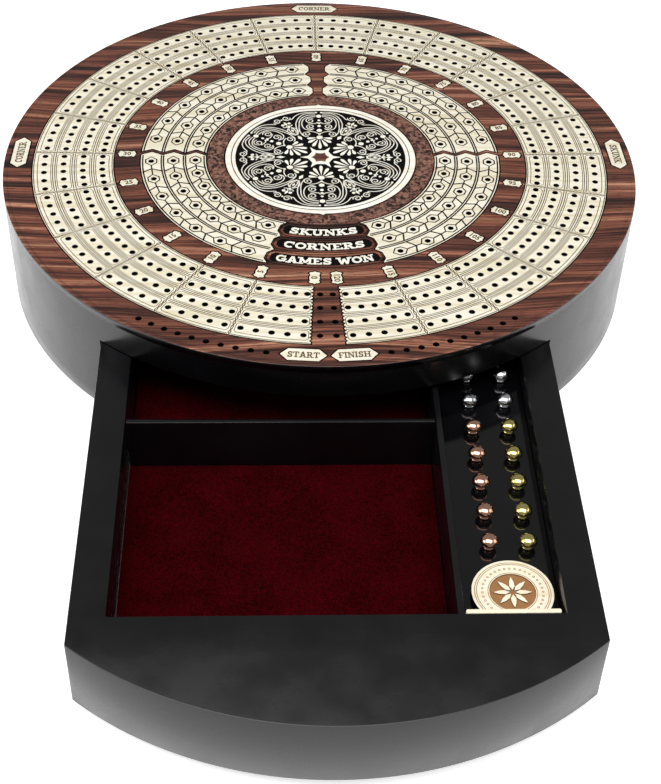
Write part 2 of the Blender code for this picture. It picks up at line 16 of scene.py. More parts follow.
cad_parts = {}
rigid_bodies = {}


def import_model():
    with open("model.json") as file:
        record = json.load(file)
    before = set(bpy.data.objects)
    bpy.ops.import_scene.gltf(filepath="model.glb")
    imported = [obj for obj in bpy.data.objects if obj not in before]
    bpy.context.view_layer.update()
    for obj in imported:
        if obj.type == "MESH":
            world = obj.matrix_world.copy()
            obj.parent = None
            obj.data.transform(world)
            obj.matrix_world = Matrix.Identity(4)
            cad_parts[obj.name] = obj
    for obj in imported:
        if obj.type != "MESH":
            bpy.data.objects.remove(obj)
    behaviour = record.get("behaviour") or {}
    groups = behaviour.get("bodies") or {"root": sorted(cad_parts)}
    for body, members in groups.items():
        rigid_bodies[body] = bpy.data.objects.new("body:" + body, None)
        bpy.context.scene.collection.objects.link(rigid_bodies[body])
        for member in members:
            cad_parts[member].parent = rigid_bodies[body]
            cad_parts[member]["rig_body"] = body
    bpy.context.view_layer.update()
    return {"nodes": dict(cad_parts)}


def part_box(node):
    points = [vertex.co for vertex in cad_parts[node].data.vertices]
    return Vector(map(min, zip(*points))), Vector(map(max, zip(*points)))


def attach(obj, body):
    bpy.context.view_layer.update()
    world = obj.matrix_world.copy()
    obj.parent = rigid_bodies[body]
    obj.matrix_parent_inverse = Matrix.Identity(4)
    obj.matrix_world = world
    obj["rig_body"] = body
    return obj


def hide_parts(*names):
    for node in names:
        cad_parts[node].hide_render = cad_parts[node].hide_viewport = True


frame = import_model()

# %% Sizes read from the frame
face_low, face_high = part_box("rosewood_face")
RADIUS = face_high.x
FACE_LOW = face_low.z
SURFACE = face_high.z - 0.00006  # fine lines stand a hair proud of this and stay inside the model
POCKET_DEPTH = 0.0015
INLAY_THICKNESS = 0.0012
print(f"board {2000 * RADIUS:.1f} mm across, its face at {1000 * SURFACE:.2f} mm")

# %% [markdown]
# ## Colours and nodes
#
# Colours are picked as sRGB hex values, as a paint chart gives them, and one function turns them
# into the linear numbers that the shader works with. One more function adds a node with its
# settings and its links. Each finish then reads as a list, from its pattern up to its shader.


# %% Helpers for materials
NOISE, MAPPING, COORDS = "ShaderNodeTexNoise", "ShaderNodeMapping", "ShaderNodeTexCoord"
RAMP, MIX, RANGE = "ShaderNodeValToRGB", "ShaderNodeMix", "ShaderNodeMapRange"
MATHS, VECTORS, BUMP = "ShaderNodeMath", "ShaderNodeVectorMath", "ShaderNodeBump"
SHADER, OUTPUT = "ShaderNodeBsdfPrincipled", "ShaderNodeOutputMaterial"


def linear(hex_colour):
    channels = [int(hex_colour[i : i + 2], 16) / 255 for i in (1, 3, 5)]
    return (*[c / 12.92 if c <= 0.04045 else ((c + 0.055) / 1.055) ** 2.4 for c in channels], 1.0)


def add(material, kind, settings=None, links=None):
    """Add one node, give it its settings (a ramp's colours are its "stops") and link its inputs."""
    node = material.node_tree.nodes.new(kind)
    for key, value in (settings or {}).items():
        if key == "stops":
            for _ in value[2:]:
                node.color_ramp.elements.new(0.5)
            for element, (position, colour) in zip(node.color_ramp.elements, value):
                element.position = position
                element.color = linear(colour)
        elif isinstance(key, int) or key in node.inputs:
            node.inputs[key].default_value = value
        else:
            setattr(node, key, value)
    for key, output in (links or {}).items():
        material.node_tree.links.new(output, node.inputs[key])
    return node


def bare_material(name):
    material = bpy.data.materials.new(name)
    material.use_nodes = True
    material.node_tree.nodes.clear()
    return material


# %% [markdown]
# ## Rosewood
#
# Rosewood is an oily brown-red timber. Cut along the grain it shows straight streaks, a few
# millimetres apart and many centimetres long, from pinkish tan to almost black, with short dark
# pores. The grain runs from side to side across the whole face, so the pattern is noise pulled out
# along X and bent a little by a slower noise. The ring round the medallion is engraved with fine
# dots, which are part of the same sheet of wood and so part of the same material. A wave texture
# would give streaks too, but evenly spaced ones.


# %% Rosewood
STIPPLED_RING = (0.0424, 0.0031)  # its middle radius and half its width


def make_rosewood():
    wood = bare_material("oiled_rosewood")
    coords = add(wood, COORDS).outputs["Object"]
    slow = add(wood, NOISE, {"Scale": 14.0, "Detail": 1.0}, {"Vector": coords})
    bend = {"operation": "MULTIPLY_ADD", 1: (0.0, 0.012, 0.0), 2: (0.0, -0.006, 0.0)}
    shift = add(wood, VECTORS, bend, {0: slow.outputs["Color"]})
    bent = add(wood, VECTORS, {"operation": "ADD"}, {0: coords, 1: shift.outputs[0]}).outputs[0]
    # streaks 4 mm apart and 140 mm long, a fine figure 0.7 mm apart, and pores 4 mm long
    broad = add(wood, MAPPING, {"Scale": (7.0, 260.0, 260.0)}, {"Vector": bent})
    streaks = add(wood, NOISE, {"Scale": 1.0, "Detail": 4.0}, {"Vector": broad.outputs[0]})
    tans = [(0.30, "#24130f"), (0.39, "#4a281f"), (0.48, "#744334"), (0.57, "#965b45"), (0.67, "#c99275")]
    tone = add(wood, RAMP, {"stops": tans}, {"Fac": streaks.outputs["Fac"]})
    narrow = add(wood, MAPPING, {"Scale": (30.0, 1500.0, 1500.0)}, {"Vector": bent})
    fine = add(wood, NOISE, {"Scale": 1.0, "Detail": 2.0}, {"Vector": narrow.outputs[0]})
    shades = [(0.36, "#6e5c52"), (0.60, "#ffffff")]
    figure = add(wood, RAMP, {"stops": shades}, {"Fac": fine.outputs["Fac"]})
    multiply = {"data_type": "RGBA", "blend_type": "MULTIPLY", 0: 0.85}
    grain = add(wood, MIX, multiply, {6: tone.outputs[0], 7: figure.outputs[0]})
    short = add(wood, MAPPING, {"Scale": (260.0, 3600.0, 3600.0)}, {"Vector": bent})
    pores = add(wood, NOISE, {"Scale": 1.0, "Detail": 1.0}, {"Vector": short.outputs[0]})
    open_pore = add(wood, MATHS, {"operation": "LESS_THAN", 1: 0.33}, {0: pores.outputs["Fac"]})
    dark_pores = {"data_type": "RGBA", 7: linear("#1d0f0c")}
    sheet = add(wood, MIX, dark_pores, {0: open_pore.outputs[0], 6: grain.outputs[2]})
    # the engraved ring: pale curls and dots on dark wood, about a millimetre across
    flat = add(wood, VECTORS, {"operation": "MULTIPLY", 1: (1.0, 1.0, 0.0)}, {0: coords}).outputs[0]
    radius = add(wood, VECTORS, {"operation": "LENGTH"}, {0: flat}).outputs["Value"]
    at, reach = STIPPLED_RING
    in_ring = add(wood, MATHS, {"operation": "COMPARE", 1: at, 2: reach}, {0: radius})
    curls = add(wood, NOISE, {"Scale": 620.0, "Detail": 0.5, "Distortion": 1.0}, {"Vector": flat})
    cuts = [(0.42, "#0c0605"), (0.46, "#8c6353"), (0.51, "#0e0706"), (0.57, "#93695a")]
    stipple = add(wood, RAMP, {"stops": cuts}, {"Fac": curls.outputs["Fac"]})
    engraved = add(wood, MIX, {"data_type": "RGBA", 0: 0.85}, {6: sheet.outputs[2], 7: stipple.outputs[0]})
    links = {0: in_ring.outputs[0], 6: sheet.outputs[2], 7: engraved.outputs[2]}
    colour = add(wood, MIX, {"data_type": "RGBA"}, links)
    relief = add(wood, BUMP, {"Strength": 0.6, "Distance": 0.00004}, {"Height": fine.outputs["Fac"]})
    links = {"Base Color": colour.outputs[2], "Normal": relief.outputs[0]}
    shader = add(wood, SHADER, {"Roughness": 0.38, "IOR": 1.5}, links)
    add(wood, OUTPUT, {}, {"Surface": shader.outputs[0]})
    return wood


rosewood = make_rosewood()
print("nodes in the rosewood:", len(rosewood.node_tree.nodes))

# %% [markdown]
# ## Maple, scorched edges and laser lines
#
# The inlays are thin maple, almost white, cut and engraved by a laser. The laser leaves the cut
# edges and the holes charred, and its shallow lines olive brown. That char is made near black, so
# it is also painted shade: the holes and the joints read dark from it, not from light. Maple's grain
# is faint, so it only tints the wood by a few per cent. The burnt finishes are separate materials,
# and faces or fine pieces take them, so that the edge of a line stays sharp however close one looks.


# %% Maple and what the laser does to it
def make_maple(name, light, dark, roughness):
    wood = bare_material(name)
    coords = add(wood, COORDS).outputs["Object"]
    # grain lines 2.4 mm apart, and flecks 6 mm long and 0.4 mm wide
    lengthwise = add(wood, MAPPING, {"Scale": (12.0, 420.0, 420.0)}, {"Vector": coords})
    grain = add(wood, NOISE, {"Scale": 1.0, "Detail": 3.0}, {"Vector": lengthwise.outputs[0]})
    tone = add(wood, RAMP, {"stops": [(0.34, dark), (0.60, light)]}, {"Fac": grain.outputs["Fac"]})
    short = add(wood, MAPPING, {"Scale": (160.0, 2400.0, 2400.0)}, {"Vector": coords})
    fleck = add(wood, NOISE, {"Scale": 1.0, "Detail": 1.0}, {"Vector": short.outputs[0]})
    faint = add(wood, RANGE, {1: 0.30, 2: 0.36, 3: 0.22, 4: 0.0}, {0: fleck.outputs["Fac"]})
    flecked = {"data_type": "RGBA", 7: linear("#b79f6c")}
    colour = add(wood, MIX, flecked, {0: faint.outputs[0], 6: tone.outputs[0]})
    relief = add(wood, BUMP, {"Strength": 0.6, "Distance": 0.00002}, {"Height": grain.outputs["Fac"]})
    links = {"Base Color": colour.outputs[2], "Normal": relief.outputs[0]}
    shader = add(wood, SHADER, {"Roughness": roughness, "IOR": 1.48}, links)
    add(wood, OUTPUT, {}, {"Surface": shader.outputs[0]})
    return wood


def make_scorched(name, colour, lighter, roughness, specular=0.5):
    """Burnt wood: matt, with a soft mottle half a millimetre across."""
    burnt = bare_material(name)
    coords = add(burnt, COORDS).outputs["Object"]
    mottle = add(burnt, NOISE, {"Scale": 2000.0, "Detail": 2.0}, {"Vector": coords})
    two_tones = {"data_type": "RGBA", 6: linear(colour), 7: linear(lighter)}
    tone = add(burnt, MIX, two_tones, {0: mottle.outputs["Fac"]})
    settings = {"Roughness": roughness, "Specular IOR Level": specular}
    shader = add(burnt, SHADER, settings, {"Base Color": tone.outputs[2]})
    add(burnt, OUTPUT, {}, {"Surface": shader.outputs[0]})
    return burnt


maple = make_maple("sanded_maple", "#f2ecda", "#ded4b6", 0.5)
token_maple = make_maple("token_maple", "#faf1da", "#eee0bc", 0.5)
letter_fill = make_maple("letter_maple", "#fbf8ee", "#efe8d4", 0.55)
# Laser char made near black, so it is also painted shade in the holes, the pocket floors and the joints.
char_and_shade = make_scorched("charred_cut_edge", "#060302", "#120a06", 0.9, 0.1)
laser_line = make_scorched("laser_line_olive_brown", "#3c2b0a", "#5e4614", 0.8)
dark_line = make_scorched("deep_laser_line", "#0c0705", "#1c120a", 0.8, 0.1)
plate_field = make_scorched("scorched_plate_field", "#060404", "#100b0a", 0.9, 0.1)
token_sunk = make_scorched("engraved_brown_ground", "#87592f", "#ab7d4d", 0.75)
print("maple and scorched finishes: 8")

# %% [markdown]
# ## Black lacquer
#
# The drum and drawer are sprayed with black nitrocellulose lacquer and rubbed to a satin gloss. The
# eye reads it by its reflections: a faint orange peel about a millimetre across and slightly uneven
# roughness keep them from looking like glass. Base colour hardly shows on black, so the work is in
# the roughness and the relief. The peg block is polished further.


# %% Lacquers
def make_lacquer(name, colour, low, high, peel):
    coat = bare_material(name)
    coords = add(coat, COORDS).outputs["Object"]
    cloud = add(coat, NOISE, {"Scale": 60.0, "Detail": 3.0}, {"Vector": coords}).outputs["Fac"]
    rough = add(coat, RANGE, {1: 0.35, 2: 0.65, 3: low, 4: high}, {0: cloud})
    two_tones = {"data_type": "RGBA", 6: linear(colour), 7: linear("#0c0c0f")}
    tone = add(coat, MIX, two_tones, {0: cloud})
    orange_peel = add(coat, NOISE, {"Scale": 900.0, "Detail": 2.0}, {"Vector": coords})
    relief = add(coat, BUMP, {"Strength": 0.6, "Distance": peel}, {"Height": orange_peel.outputs["Fac"]})
    links = {"Base Color": tone.outputs[2], "Roughness": rough.outputs[0], "Normal": relief.outputs[0]}
    shader = add(coat, SHADER, {"IOR": 1.5}, links)
    add(coat, OUTPUT, {}, {"Surface": shader.outputs[0]})
    return coat


lacquer = make_lacquer("satin_black_lacquer", "#040405", 0.22, 0.30, 0.00002)
gloss = make_lacquer("polished_black_lacquer", "#030304", 0.06, 0.12, 0.000006)
print("lacquers:", lacquer.name, gloss.name)

# %% [markdown]
# ## Velvet
#
# Each card well is lined with wine-red velvet. Its pile stands up, so it is deep and dark seen from
# above and catches light at a grazing angle: that is what the shader's sheen does. Brushed patches
# and single fibres come from two noises, one about a centimetre across and one half a millimetre.


# %% Velvet
def make_velvet():
    cloth = bare_material("wine_velvet")
    coords = add(cloth, COORDS).outputs["Object"]
    patches = add(cloth, NOISE, {"Scale": 70.0, "Detail": 3.0}, {"Vector": coords})
    brushed = [(0.38, "#200103"), (0.62, "#340207")]
    tone = add(cloth, RAMP, {"stops": brushed}, {"Fac": patches.outputs["Fac"]})
    fibres = add(cloth, NOISE, {"Scale": 1900.0, "Detail": 2.0}, {"Vector": coords}).outputs["Fac"]
    tips = add(cloth, RAMP, {"stops": [(0.35, "#0c0001"), (0.65, "#4a0207")]}, {"Fac": fibres})
    half_each = {"data_type": "RGBA", 0: 0.5}
    colour = add(cloth, MIX, half_each, {6: tone.outputs[0], 7: tips.outputs[0]})
    relief = add(cloth, BUMP, {"Strength": 0.6, "Distance": 0.0002}, {"Height": fibres})
    sheen = {"Sheen Weight": 0.03, "Sheen Roughness": 0.4, "Sheen Tint": linear("#a0040c")}
    settings = {"Roughness": 0.95, "Specular IOR Level": 0.02, **sheen}
    links = {"Base Color": colour.outputs[2], "Normal": relief.outputs[0]}
    shader = add(cloth, SHADER, settings, links)
    add(cloth, OUTPUT, {}, {"Surface": shader.outputs[0]})
    return cloth


velvet = make_velvet()
print("cloth:", velvet.name)

# %% [markdown]
# ## Plated metals
#
# The pegs are turned brass, plated in four colours and tumbled bright. A metal has no colour of its
# own beneath the reflection, so its base colour is the plating's, and faint tool marks round the
# head change the roughness a little.


# %% Plated metals
def make_plating(name, colour, paler, roughness):
    plate = bare_material(name)
    coords = add(plate, COORDS).outputs["Object"]
    round_head = add(plate, MAPPING, {"Scale": (300.0, 300.0, 5000.0)}, {"Vector": coords})
    marks = add(plate, NOISE, {"Scale": 1.0, "Detail": 2.0}, {"Vector": round_head.outputs[0]})
    marks = marks.outputs["Fac"]
    rough = add(plate, RANGE, {1: 0.3, 2: 0.7, 3: roughness, 4: roughness + 0.08}, {0: marks})
    tone = add(plate, MIX, {"data_type": "RGBA", 6: linear(colour), 7: linear(paler)}, {0: marks})
    links = {"Base Color": tone.outputs[2], "Roughness": rough.outputs[0]}
    shader = add(plate, SHADER, {"Metallic": 1.0}, links)
    add(plate, OUTPUT, {}, {"Surface": shader.outputs[0]})
    return plate


platings = {
    "copper": make_plating("bright_copper_plate", "#e2a78c", "#f0bfa6", 0.08),
    "gold": make_plating("bright_gold_plate", "#e2cf74", "#efe19a", 0.08),
    "silver": make_plating("bright_silver_plate", "#eeeef2", "#fafafc", 0.07),
    "nickel": make_plating("black_nickel_plate", "#b4b5b8", "#c6c7ca", 0.08),
}
magnet_nickel = make_plating("magnet_nickel_plate", "#c8c6c0", "#d8d7d2", 0.2)
print("platings:", ", ".join(platings))

# %% [markdown]
# ## Drawing on the round
#
# Almost everything on the face follows a circle, so points are given by a radius and an angle,
# counted from the drawer's side (-Y) towards +X. A flat piece is a closed outline, with more closed
# outlines inside it for its holes, drawn as a 2D curve. Blender fills the curve, gives it its
# thickness, and it is then made a mesh. Cutting the 592 holes with booleans is another way, not
# tried here.


# %% Points and outlines
def polar(radius, angle):
    turn = math.radians(angle)
    return radius * math.sin(turn), -radius * math.cos(turn)


def local(radius, angle, across, outward):
    """A point near (radius, angle): across runs round the board, outward towards the rim."""
    turn = math.radians(angle)
    x, y = polar(radius + outward, angle)
    return x + across * math.cos(turn), y + across * math.sin(turn)


def arc(radius, start, end, step=2.0):
    count = max(2, round(abs(end - start) / step) + 1)
    return [polar(radius, start + (end - start) * i / (count - 1)) for i in range(count)]


def ring(radius, sides, centre=(0.0, 0.0)):
    turns = [2 * math.pi * i / sides for i in range(sides)]
    return [(centre[0] + radius * math.cos(t), centre[1] + radius * math.sin(t)) for t in turns]


def mirrored(outline):
    return [(-x, y) for x, y in reversed(outline)]


def normal_of(start, end):
    run, rise = end[0] - start[0], end[1] - start[1]
    length = math.hypot(run, rise)
    return rise / length, -run / length


def grown(outline, by):
    """The outline moved outwards by a distance on every side, or inwards if it is negative."""
    count = len(outline)
    area = sum(outline[i - 1][0] * outline[i][1] - outline[i][0] * outline[i - 1][1] for i in range(count))
    way = math.copysign(1.0, area) * by
    moved = []
    for i in range(count):
        here = outline[i]
        first = normal_of(outline[i - 1], here)
        second = normal_of(here, outline[(i + 1) % count])
        shared = max(0.35, 1 + first[0] * second[0] + first[1] * second[1])
        step_x, step_y = first[0] + second[0], first[1] + second[1]
        moved.append((here[0] + way * step_x / shared, here[1] + way * step_y / shared))
    return moved


# %% Selecting, applying and cleaning
def deselect_all():
    if bpy.context.mode != "OBJECT":
        bpy.ops.object.mode_set(mode="OBJECT")
    bpy.ops.object.select_all(action="DESELECT")


def pick(obj):
    deselect_all()
    obj.select_set(True)
    bpy.context.view_layer.objects.active = obj


def clean_mesh(obj, threshold=0.000001):
    """Merge doubled points and turn every face outwards."""
    pick(obj)
    bpy.ops.object.mode_set(mode="EDIT")
    bpy.ops.mesh.select_all(action="SELECT")
    bpy.ops.mesh.remove_doubles(threshold=threshold)
    bpy.ops.mesh.normals_make_consistent(inside=False)
    bpy.ops.object.mode_set(mode="OBJECT")


def apply_place(obj):
    pick(obj)
    bpy.ops.object.transform_apply(location=True, rotation=True, scale=True)


def make_mesh(obj):
    pick(obj)
    bpy.ops.object.convert(target="MESH")
    obj = bpy.context.active_object
    apply_place(obj)
    return obj


# %% Flat pieces, fine lines and lettering
LINE_RISE, NUMBER_RISE = 0.00004, 0.00003


def flat_piece(name, loops, low, high):
    """A flat piece between two heights. The first loop is its edge and the rest are holes."""
    curve = bpy.data.curves.new(name, "CURVE")
    curve.dimensions = "2D"
    curve.fill_mode = "BOTH"
    curve.extrude = (high - low) / 2
    for loop in loops:
        spline = curve.splines.new("POLY")
        spline.points.add(len(loop) - 1)
        for point, (x, y) in zip(spline.points, loop):
            point.co = (x, y, 0.0, 1.0)
        spline.use_cyclic_u = True
    obj = bpy.data.objects.new(name, curve)
    obj.location.z = (low + high) / 2
    bpy.context.collection.objects.link(obj)
    obj = make_mesh(obj)
    clean_mesh(obj)
    return obj


def paint(obj, top, walls=None):
    """Give flat faces one material and upright ones another."""
    obj.data.materials.clear()
    obj.data.materials.append(top)
    if walls is not None:
        obj.data.materials.append(walls)
    for face in obj.data.polygons:
        face.material_index = 1 if walls is not None and abs(face.normal.z) < 0.5 else 0


def fine_lines(name, paths, width, material, level=SURFACE):
    """Thin lines on a surface: each path is (points, closed). They stand 0.04 mm proud."""
    curve = bpy.data.curves.new(name, "CURVE")
    curve.dimensions = "3D"
    curve.bevel_depth = width / 2
    curve.bevel_resolution = 0
    curve.use_fill_caps = True
    for points, closed in paths:
        spline = curve.splines.new("POLY")
        spline.points.add(len(points) - 1)
        for point, (x, y) in zip(spline.points, points):
            point.co = (x, y, 0.0, 1.0)
        spline.use_cyclic_u = closed
    obj = bpy.data.objects.new(name, curve)
    bpy.context.collection.objects.link(obj)
    obj = make_mesh(obj)
    clean_mesh(obj)
    flatten = Matrix.Diagonal((1.0, 1.0, LINE_RISE / (width / 2), 1.0))
    obj.data.transform(Matrix.Translation((0.0, 0.0, level)) @ flatten)
    paint(obj, material)
    return obj


def lettering(name, words, size, weight):
    """A number as a flat mesh, centred on the origin. It lies 0.03 mm proud of its plate."""
    deselect_all()
    bpy.ops.object.text_add(location=(0.0, 0.0, 0.0))
    obj = bpy.context.active_object
    obj.name = name
    obj.data.body = words
    obj.data.size = size
    obj.data.offset = weight
    obj.data.extrude = NUMBER_RISE
    obj.data.resolution_u = 2
    obj.data.align_x = "CENTER"
    obj.data.align_y = "CENTER"
    obj.location.z = SURFACE
    obj = make_mesh(obj)
    clean_mesh(obj)
    return obj


def join(name, objects):
    pick(objects[0])
    for obj in objects:
        obj.select_set(True)
    bpy.ops.object.join()
    joined = bpy.context.active_object
    joined.name = name
    return joined


def settle(piece, body, slot, *nodes):
    """The piece rides on its body and stands for its nodes; the slot is not used."""
    piece.name = piece.name.replace(" ", "_")
    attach(piece, body)
    if nodes:
        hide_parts(*nodes)
    return piece


# %% [markdown]
# ## The layout of the face
#
# From the rim inwards: five maple plaques and two rows of small holes, the track inlay, twenty-five
# number plates that count the holes in fives, four score inlays with three rows each, three word
# plates in front, a ring of stippled rosewood, and the medallion. All of it is set out from the few
# sizes below, as a maker would with dividers and a protractor.

# %% Sizes of the layout, in metres and degrees
TRACK_IN, TRACK_OUT = 0.0832, 0.1156
TRACK_START = 2.95
TRACKS = (0.0878, 0.0955, 0.1032, 0.1108)
GROUPS = 24
GROUP_ANGLE = 14.75
HOLE_STEP = 2.92
HOLE_RADIUS = 0.0012
HOLE_SIDES = 14
RIM_HOLE_RADIUS = 0.1215
SCORE_IN, ROW_WIDTH = 0.0461, 0.00887
SCORE_ANGLES = (17.1, 91.2, 175.4)
NOTCH, NOTCH_FLAT, JOINT_FLAT, JOINT_GAP = 0.0021, 0.0036, 0.0006, 0.0017
PLATE_GAP = 0.0005
FRONT_CELL, BACK_CELL = (24.75, 10.43), (101.0, 11.63)
MEDALLION, FIELD, BORDER_LINE = 0.0388, 0.0345, 0.0361
PLAQUES_AT, PLAQUE_HEIGHT, PLAQUE_TIP = 0.1211, 0.0067, 0.0030
NUMBERS_AT = 0.0782


def boundary(k):
    """The angle where group k starts."""
    return 3.0 + GROUP_ANGLE * k


def track_holes():
    centres = [boundary(k) + GROUP_ANGLE / 2 + HOLE_STEP * i for k in range(GROUPS) for i in range(-2, 3)]
    return [polar(radius, angle) for radius in TRACKS for angle in centres]


def start_holes():
    return [polar(radius, side * 1.5) for radius in TRACKS for side in (-1, 1)]


def rim_holes():
    return [polar(RIM_HOLE_RADIUS, side * (10.35 + 2.58 * k)) for k in range(10) for side in (-1, 1)]


def cell_angles(back):
    first, step = BACK_CELL if back else FRONT_CELL
    return [first + step * k for k in range(7)]


def row_radii(row):
    inner = SCORE_IN + row * ROW_WIDTH
    return inner, inner + ROW_WIDTH / 2, inner + ROW_WIDTH


def score_holes(back):
    return [polar(row_radii(row)[1], angle) for row in range(3) for angle in cell_angles(back)]


print("holes in the tracks:", len(track_holes()), "and round the rim:", len(rim_holes()))


# %% Outlines of the inlays
def scallops(angle, side):
    """The end of the track inlay: small round teeth, 1.9 mm apart, from the inner edge out."""
    count, depth = 17, 0.0007
    pitch = (TRACK_OUT - TRACK_IN) / count
    points = []
    for tooth in range(count):
        start = TRACK_IN + tooth * pitch
        for share, reach in ((0.0, 0.0), (0.25, 0.75), (0.5, 1.0), (0.75, 0.75)):
            radius = start + share * pitch
            back_off = math.degrees(depth * (1 - reach) / radius)
            points.append(polar(radius, angle + side * back_off))
    return points


def track_outline():
    start, end = TRACK_START, 360 - TRACK_START
    outer = arc(TRACK_OUT, start, end, 1.5)
    inner = arc(TRACK_IN, end, start, 1.5)
    return outer + scallops(end, -1)[::-1] + inner + scallops(start, 1)[1:]


def notched_end(angle, flat, inset=0.0):
    """Half a hexagon in each score row, inner row first."""
    points = []
    for row in range(3):
        inner, middle, outer = row_radii(row)
        corner = angle + math.degrees(inset / middle)
        tip = corner + math.degrees(NOTCH / middle)
        points += [polar(inner, corner), polar(middle - flat / 2, tip)]
        points.append(polar(middle + flat / 2, tip))
    return points + [polar(outer, corner)]


def score_outline(back):
    front_angle, side_angle, back_angle = SCORE_ANGLES
    start, end = (side_angle, back_angle) if back else (front_angle, side_angle)
    inner, outer = SCORE_IN, SCORE_IN + 3 * ROW_WIDTH
    low = notched_end(start, JOINT_FLAT, JOINT_GAP) if back else notched_end(start, NOTCH_FLAT)
    high = notched_end(end, NOTCH_FLAT if back else JOINT_FLAT)
    return low + arc(outer, start, end)[1:-1] + high[::-1] + arc(inner, end, start)[1:-1]


def plate_outline(row):
    inner, middle, outer = row_radii(row)
    body = SCORE_ANGLES[0] - math.degrees(PLATE_GAP / middle)
    tip = body + math.degrees(NOTCH / middle)
    flat = NOTCH_FLAT / 2
    right = [polar(middle + flat, tip), polar(middle - flat, tip)]
    outside, inside = outer - PLATE_GAP, inner + PLATE_GAP
    return arc(outside, -body, body) + right + arc(inside, body, -body) + mirrored(right)


def plaque_outline(length, angle):
    reach, side = length / 2, PLAQUE_HEIGHT / 2
    shoulder = reach - PLAQUE_TIP
    corners = [(reach, 0), (shoulder, side), (-shoulder, side), (-reach, 0), (-shoulder, -side)]
    corners.append((shoulder, -side))
    return [local(PLAQUES_AT, angle, across, -up) for across, up in corners]


def shield_outline(angle):
    """A number plate: a small shield, pointed at both ends and waisted at its sides."""
    half = [(0.0, 4.15), (0.75, 3.55), (1.5, 3.5), (2.45, 2.75), (1.95, 1.7), (2.3, 0.0)]
    side = half + [(across, -up) for across, up in reversed(half[:-1])]
    outline = side + [(-across, up) for across, up in reversed(side[1:-1])]
    return [local(NUMBERS_AT, angle, across / 1000, up / 1000) for across, up in outline]


def medallion_outline():
    """A circle with a small point in front and behind."""
    points = []
    for i in range(180):
        angle = 2.0 * i
        away = min(angle % 180, 180 - angle % 180)
        bump = 0.0009 if away == 0 else 0.0
        points.append(polar(MEDALLION + bump, angle))
    return points


PLAQUES = {
    "plaque_start": (0.0172, -4.22),
    "plaque_finish": (0.0172, 4.22),
    "plaque_corner_left": (0.0218, -91.4),
    "plaque_corner_back": (0.0218, 180.0),
    "plaque_skunk_right": (0.0218, 91.4),
}
outlines = {"track_ring": track_outline(), "medallion": medallion_outline()}
for back, end in ((False, "front"), (True, "back")):
    outlines[f"score_inlay_{end}_right"] = score_outline(back)
    outlines[f"score_inlay_{end}_left"] = mirrored(score_outline(back))
PLATES = ("plate_skunks", "plate_corners", "plate_games_won")
for row, node in enumerate(PLATES):
    outlines[node] = plate_outline(row)
for name, (length, angle) in PLAQUES.items():
    outlines[name] = plaque_outline(length, angle)
shields = [shield_outline(boundary(k)) for k in range(GROUPS + 1)]
print("outlines:", len(outlines), "and shields:", len(shields))

# %% [markdown]
# ## The rosewood face
#
# On the real board the face is one sheet, with a shallow pocket routed for each inlay and every
# hole drilled through. Here it is two filled outlines, one above the other: the lower has only the holes,
# and the upper has the pockets too. A turned rim with a small arris closes them. The pocket
# walls are charred and the pocket floors are painted near black, so the thin black line round each
# inlay is partly char and partly painted shade. The hole walls of the lower outline are painted shade too.

# %% Rosewood face
CUT_GROW = 0.00024
PLATE_GROW = 0.0001  # the word plates lie close to the score inlays
INLAY_SHRINK = -0.00030
RIM_IN = RADIUS - 0.002


def hole_loops(centres):
    return [ring(HOLE_RADIUS, HOLE_SIDES, centre) for centre in centres]


def all_holes():
    found = track_holes() + start_holes() + rim_holes()
    for back in (False, True):
        for x, y in score_holes(back):
            found += [(x, y), (-x, y)]
    return found


def make_face():
    pockets = [
        grown(outline, PLATE_GROW if name.startswith("plate") else CUT_GROW)
        for name, outline in outlines.items()
    ]
    pockets += [grown(outline, CUT_GROW) for outline in shields]
    floor_level = SURFACE - POCKET_DEPTH
    edge = ring(RIM_IN, 192)
    lower = flat_piece("face_lower", [edge] + hole_loops(all_holes()), FACE_LOW, floor_level)
    open_holes = hole_loops(start_holes() + rim_holes())
    upper = flat_piece("face_upper", [edge] + pockets + open_holes, floor_level, SURFACE)
    # The lower sheet is near-black char all over: painted shade down every hole and in the gaps round the
    # inlays.
    paint(lower, char_and_shade, char_and_shade)
    paint(upper, rosewood, char_and_shade)
    return join("rosewood_sheet", [lower, upper, make_rim()])


def turned(name, profile, steps):
    """A closed or open profile of (radius, height), turned about Z by a Screw modifier."""
    mesh = bpy.data.meshes.new(name)
    points = [(radius, 0.0, height) for radius, height in profile]
    mesh.from_pydata(points, [(i, i + 1) for i in range(len(points) - 1)], [])
    obj = bpy.data.objects.new(name, mesh)
    bpy.context.collection.objects.link(obj)
    pick(obj)
    screw = obj.modifiers.new("turn", "SCREW")
    screw.steps = screw.render_steps = steps
    screw.use_merge_vertices = True
    screw.merge_threshold = 0.000001
    bpy.ops.object.modifier_apply(modifier="turn")
    clean_mesh(obj)
    return obj


def make_rim():
    arris = 0.00035
    corner = [math.radians(a) for a in (90, 60, 30, 0)]
    rounded = [
        (RADIUS - arris + arris * math.cos(a), SURFACE - arris + arris * math.sin(a)) for a in corner
    ]
    profile = [(RIM_IN, SURFACE)] + rounded + [(RADIUS, FACE_LOW), (RIM_IN, FACE_LOW), (RIM_IN, SURFACE)]
    rim = turned("face_rim", profile, 192)
    rim.data.materials.append(rosewood)
    rim.data.materials.append(lacquer)
    for face in rim.data.polygons:
        outside = face.center.xy.length > RADIUS - 0.0002 and face.normal.z < 0.5
        face.material_index = 1 if outside else 0
    return rim


face = settle(make_face(), "drum", "rosewood", "rosewood_face")
print("faces in the rosewood sheet:", len(face.data.polygons))

# %% [markdown]
# ## The inlays
#
# Each inlay is its outline, a hair smaller than its pocket, with its holes. Upright faces are
# charred by the laser, and the char is dark enough to be painted shade in the holes too; the top
# stays clean. They could be painted on the sheet as a pattern, but a real inlay has an edge that
# catches light and a joint with depth, so each is a piece.

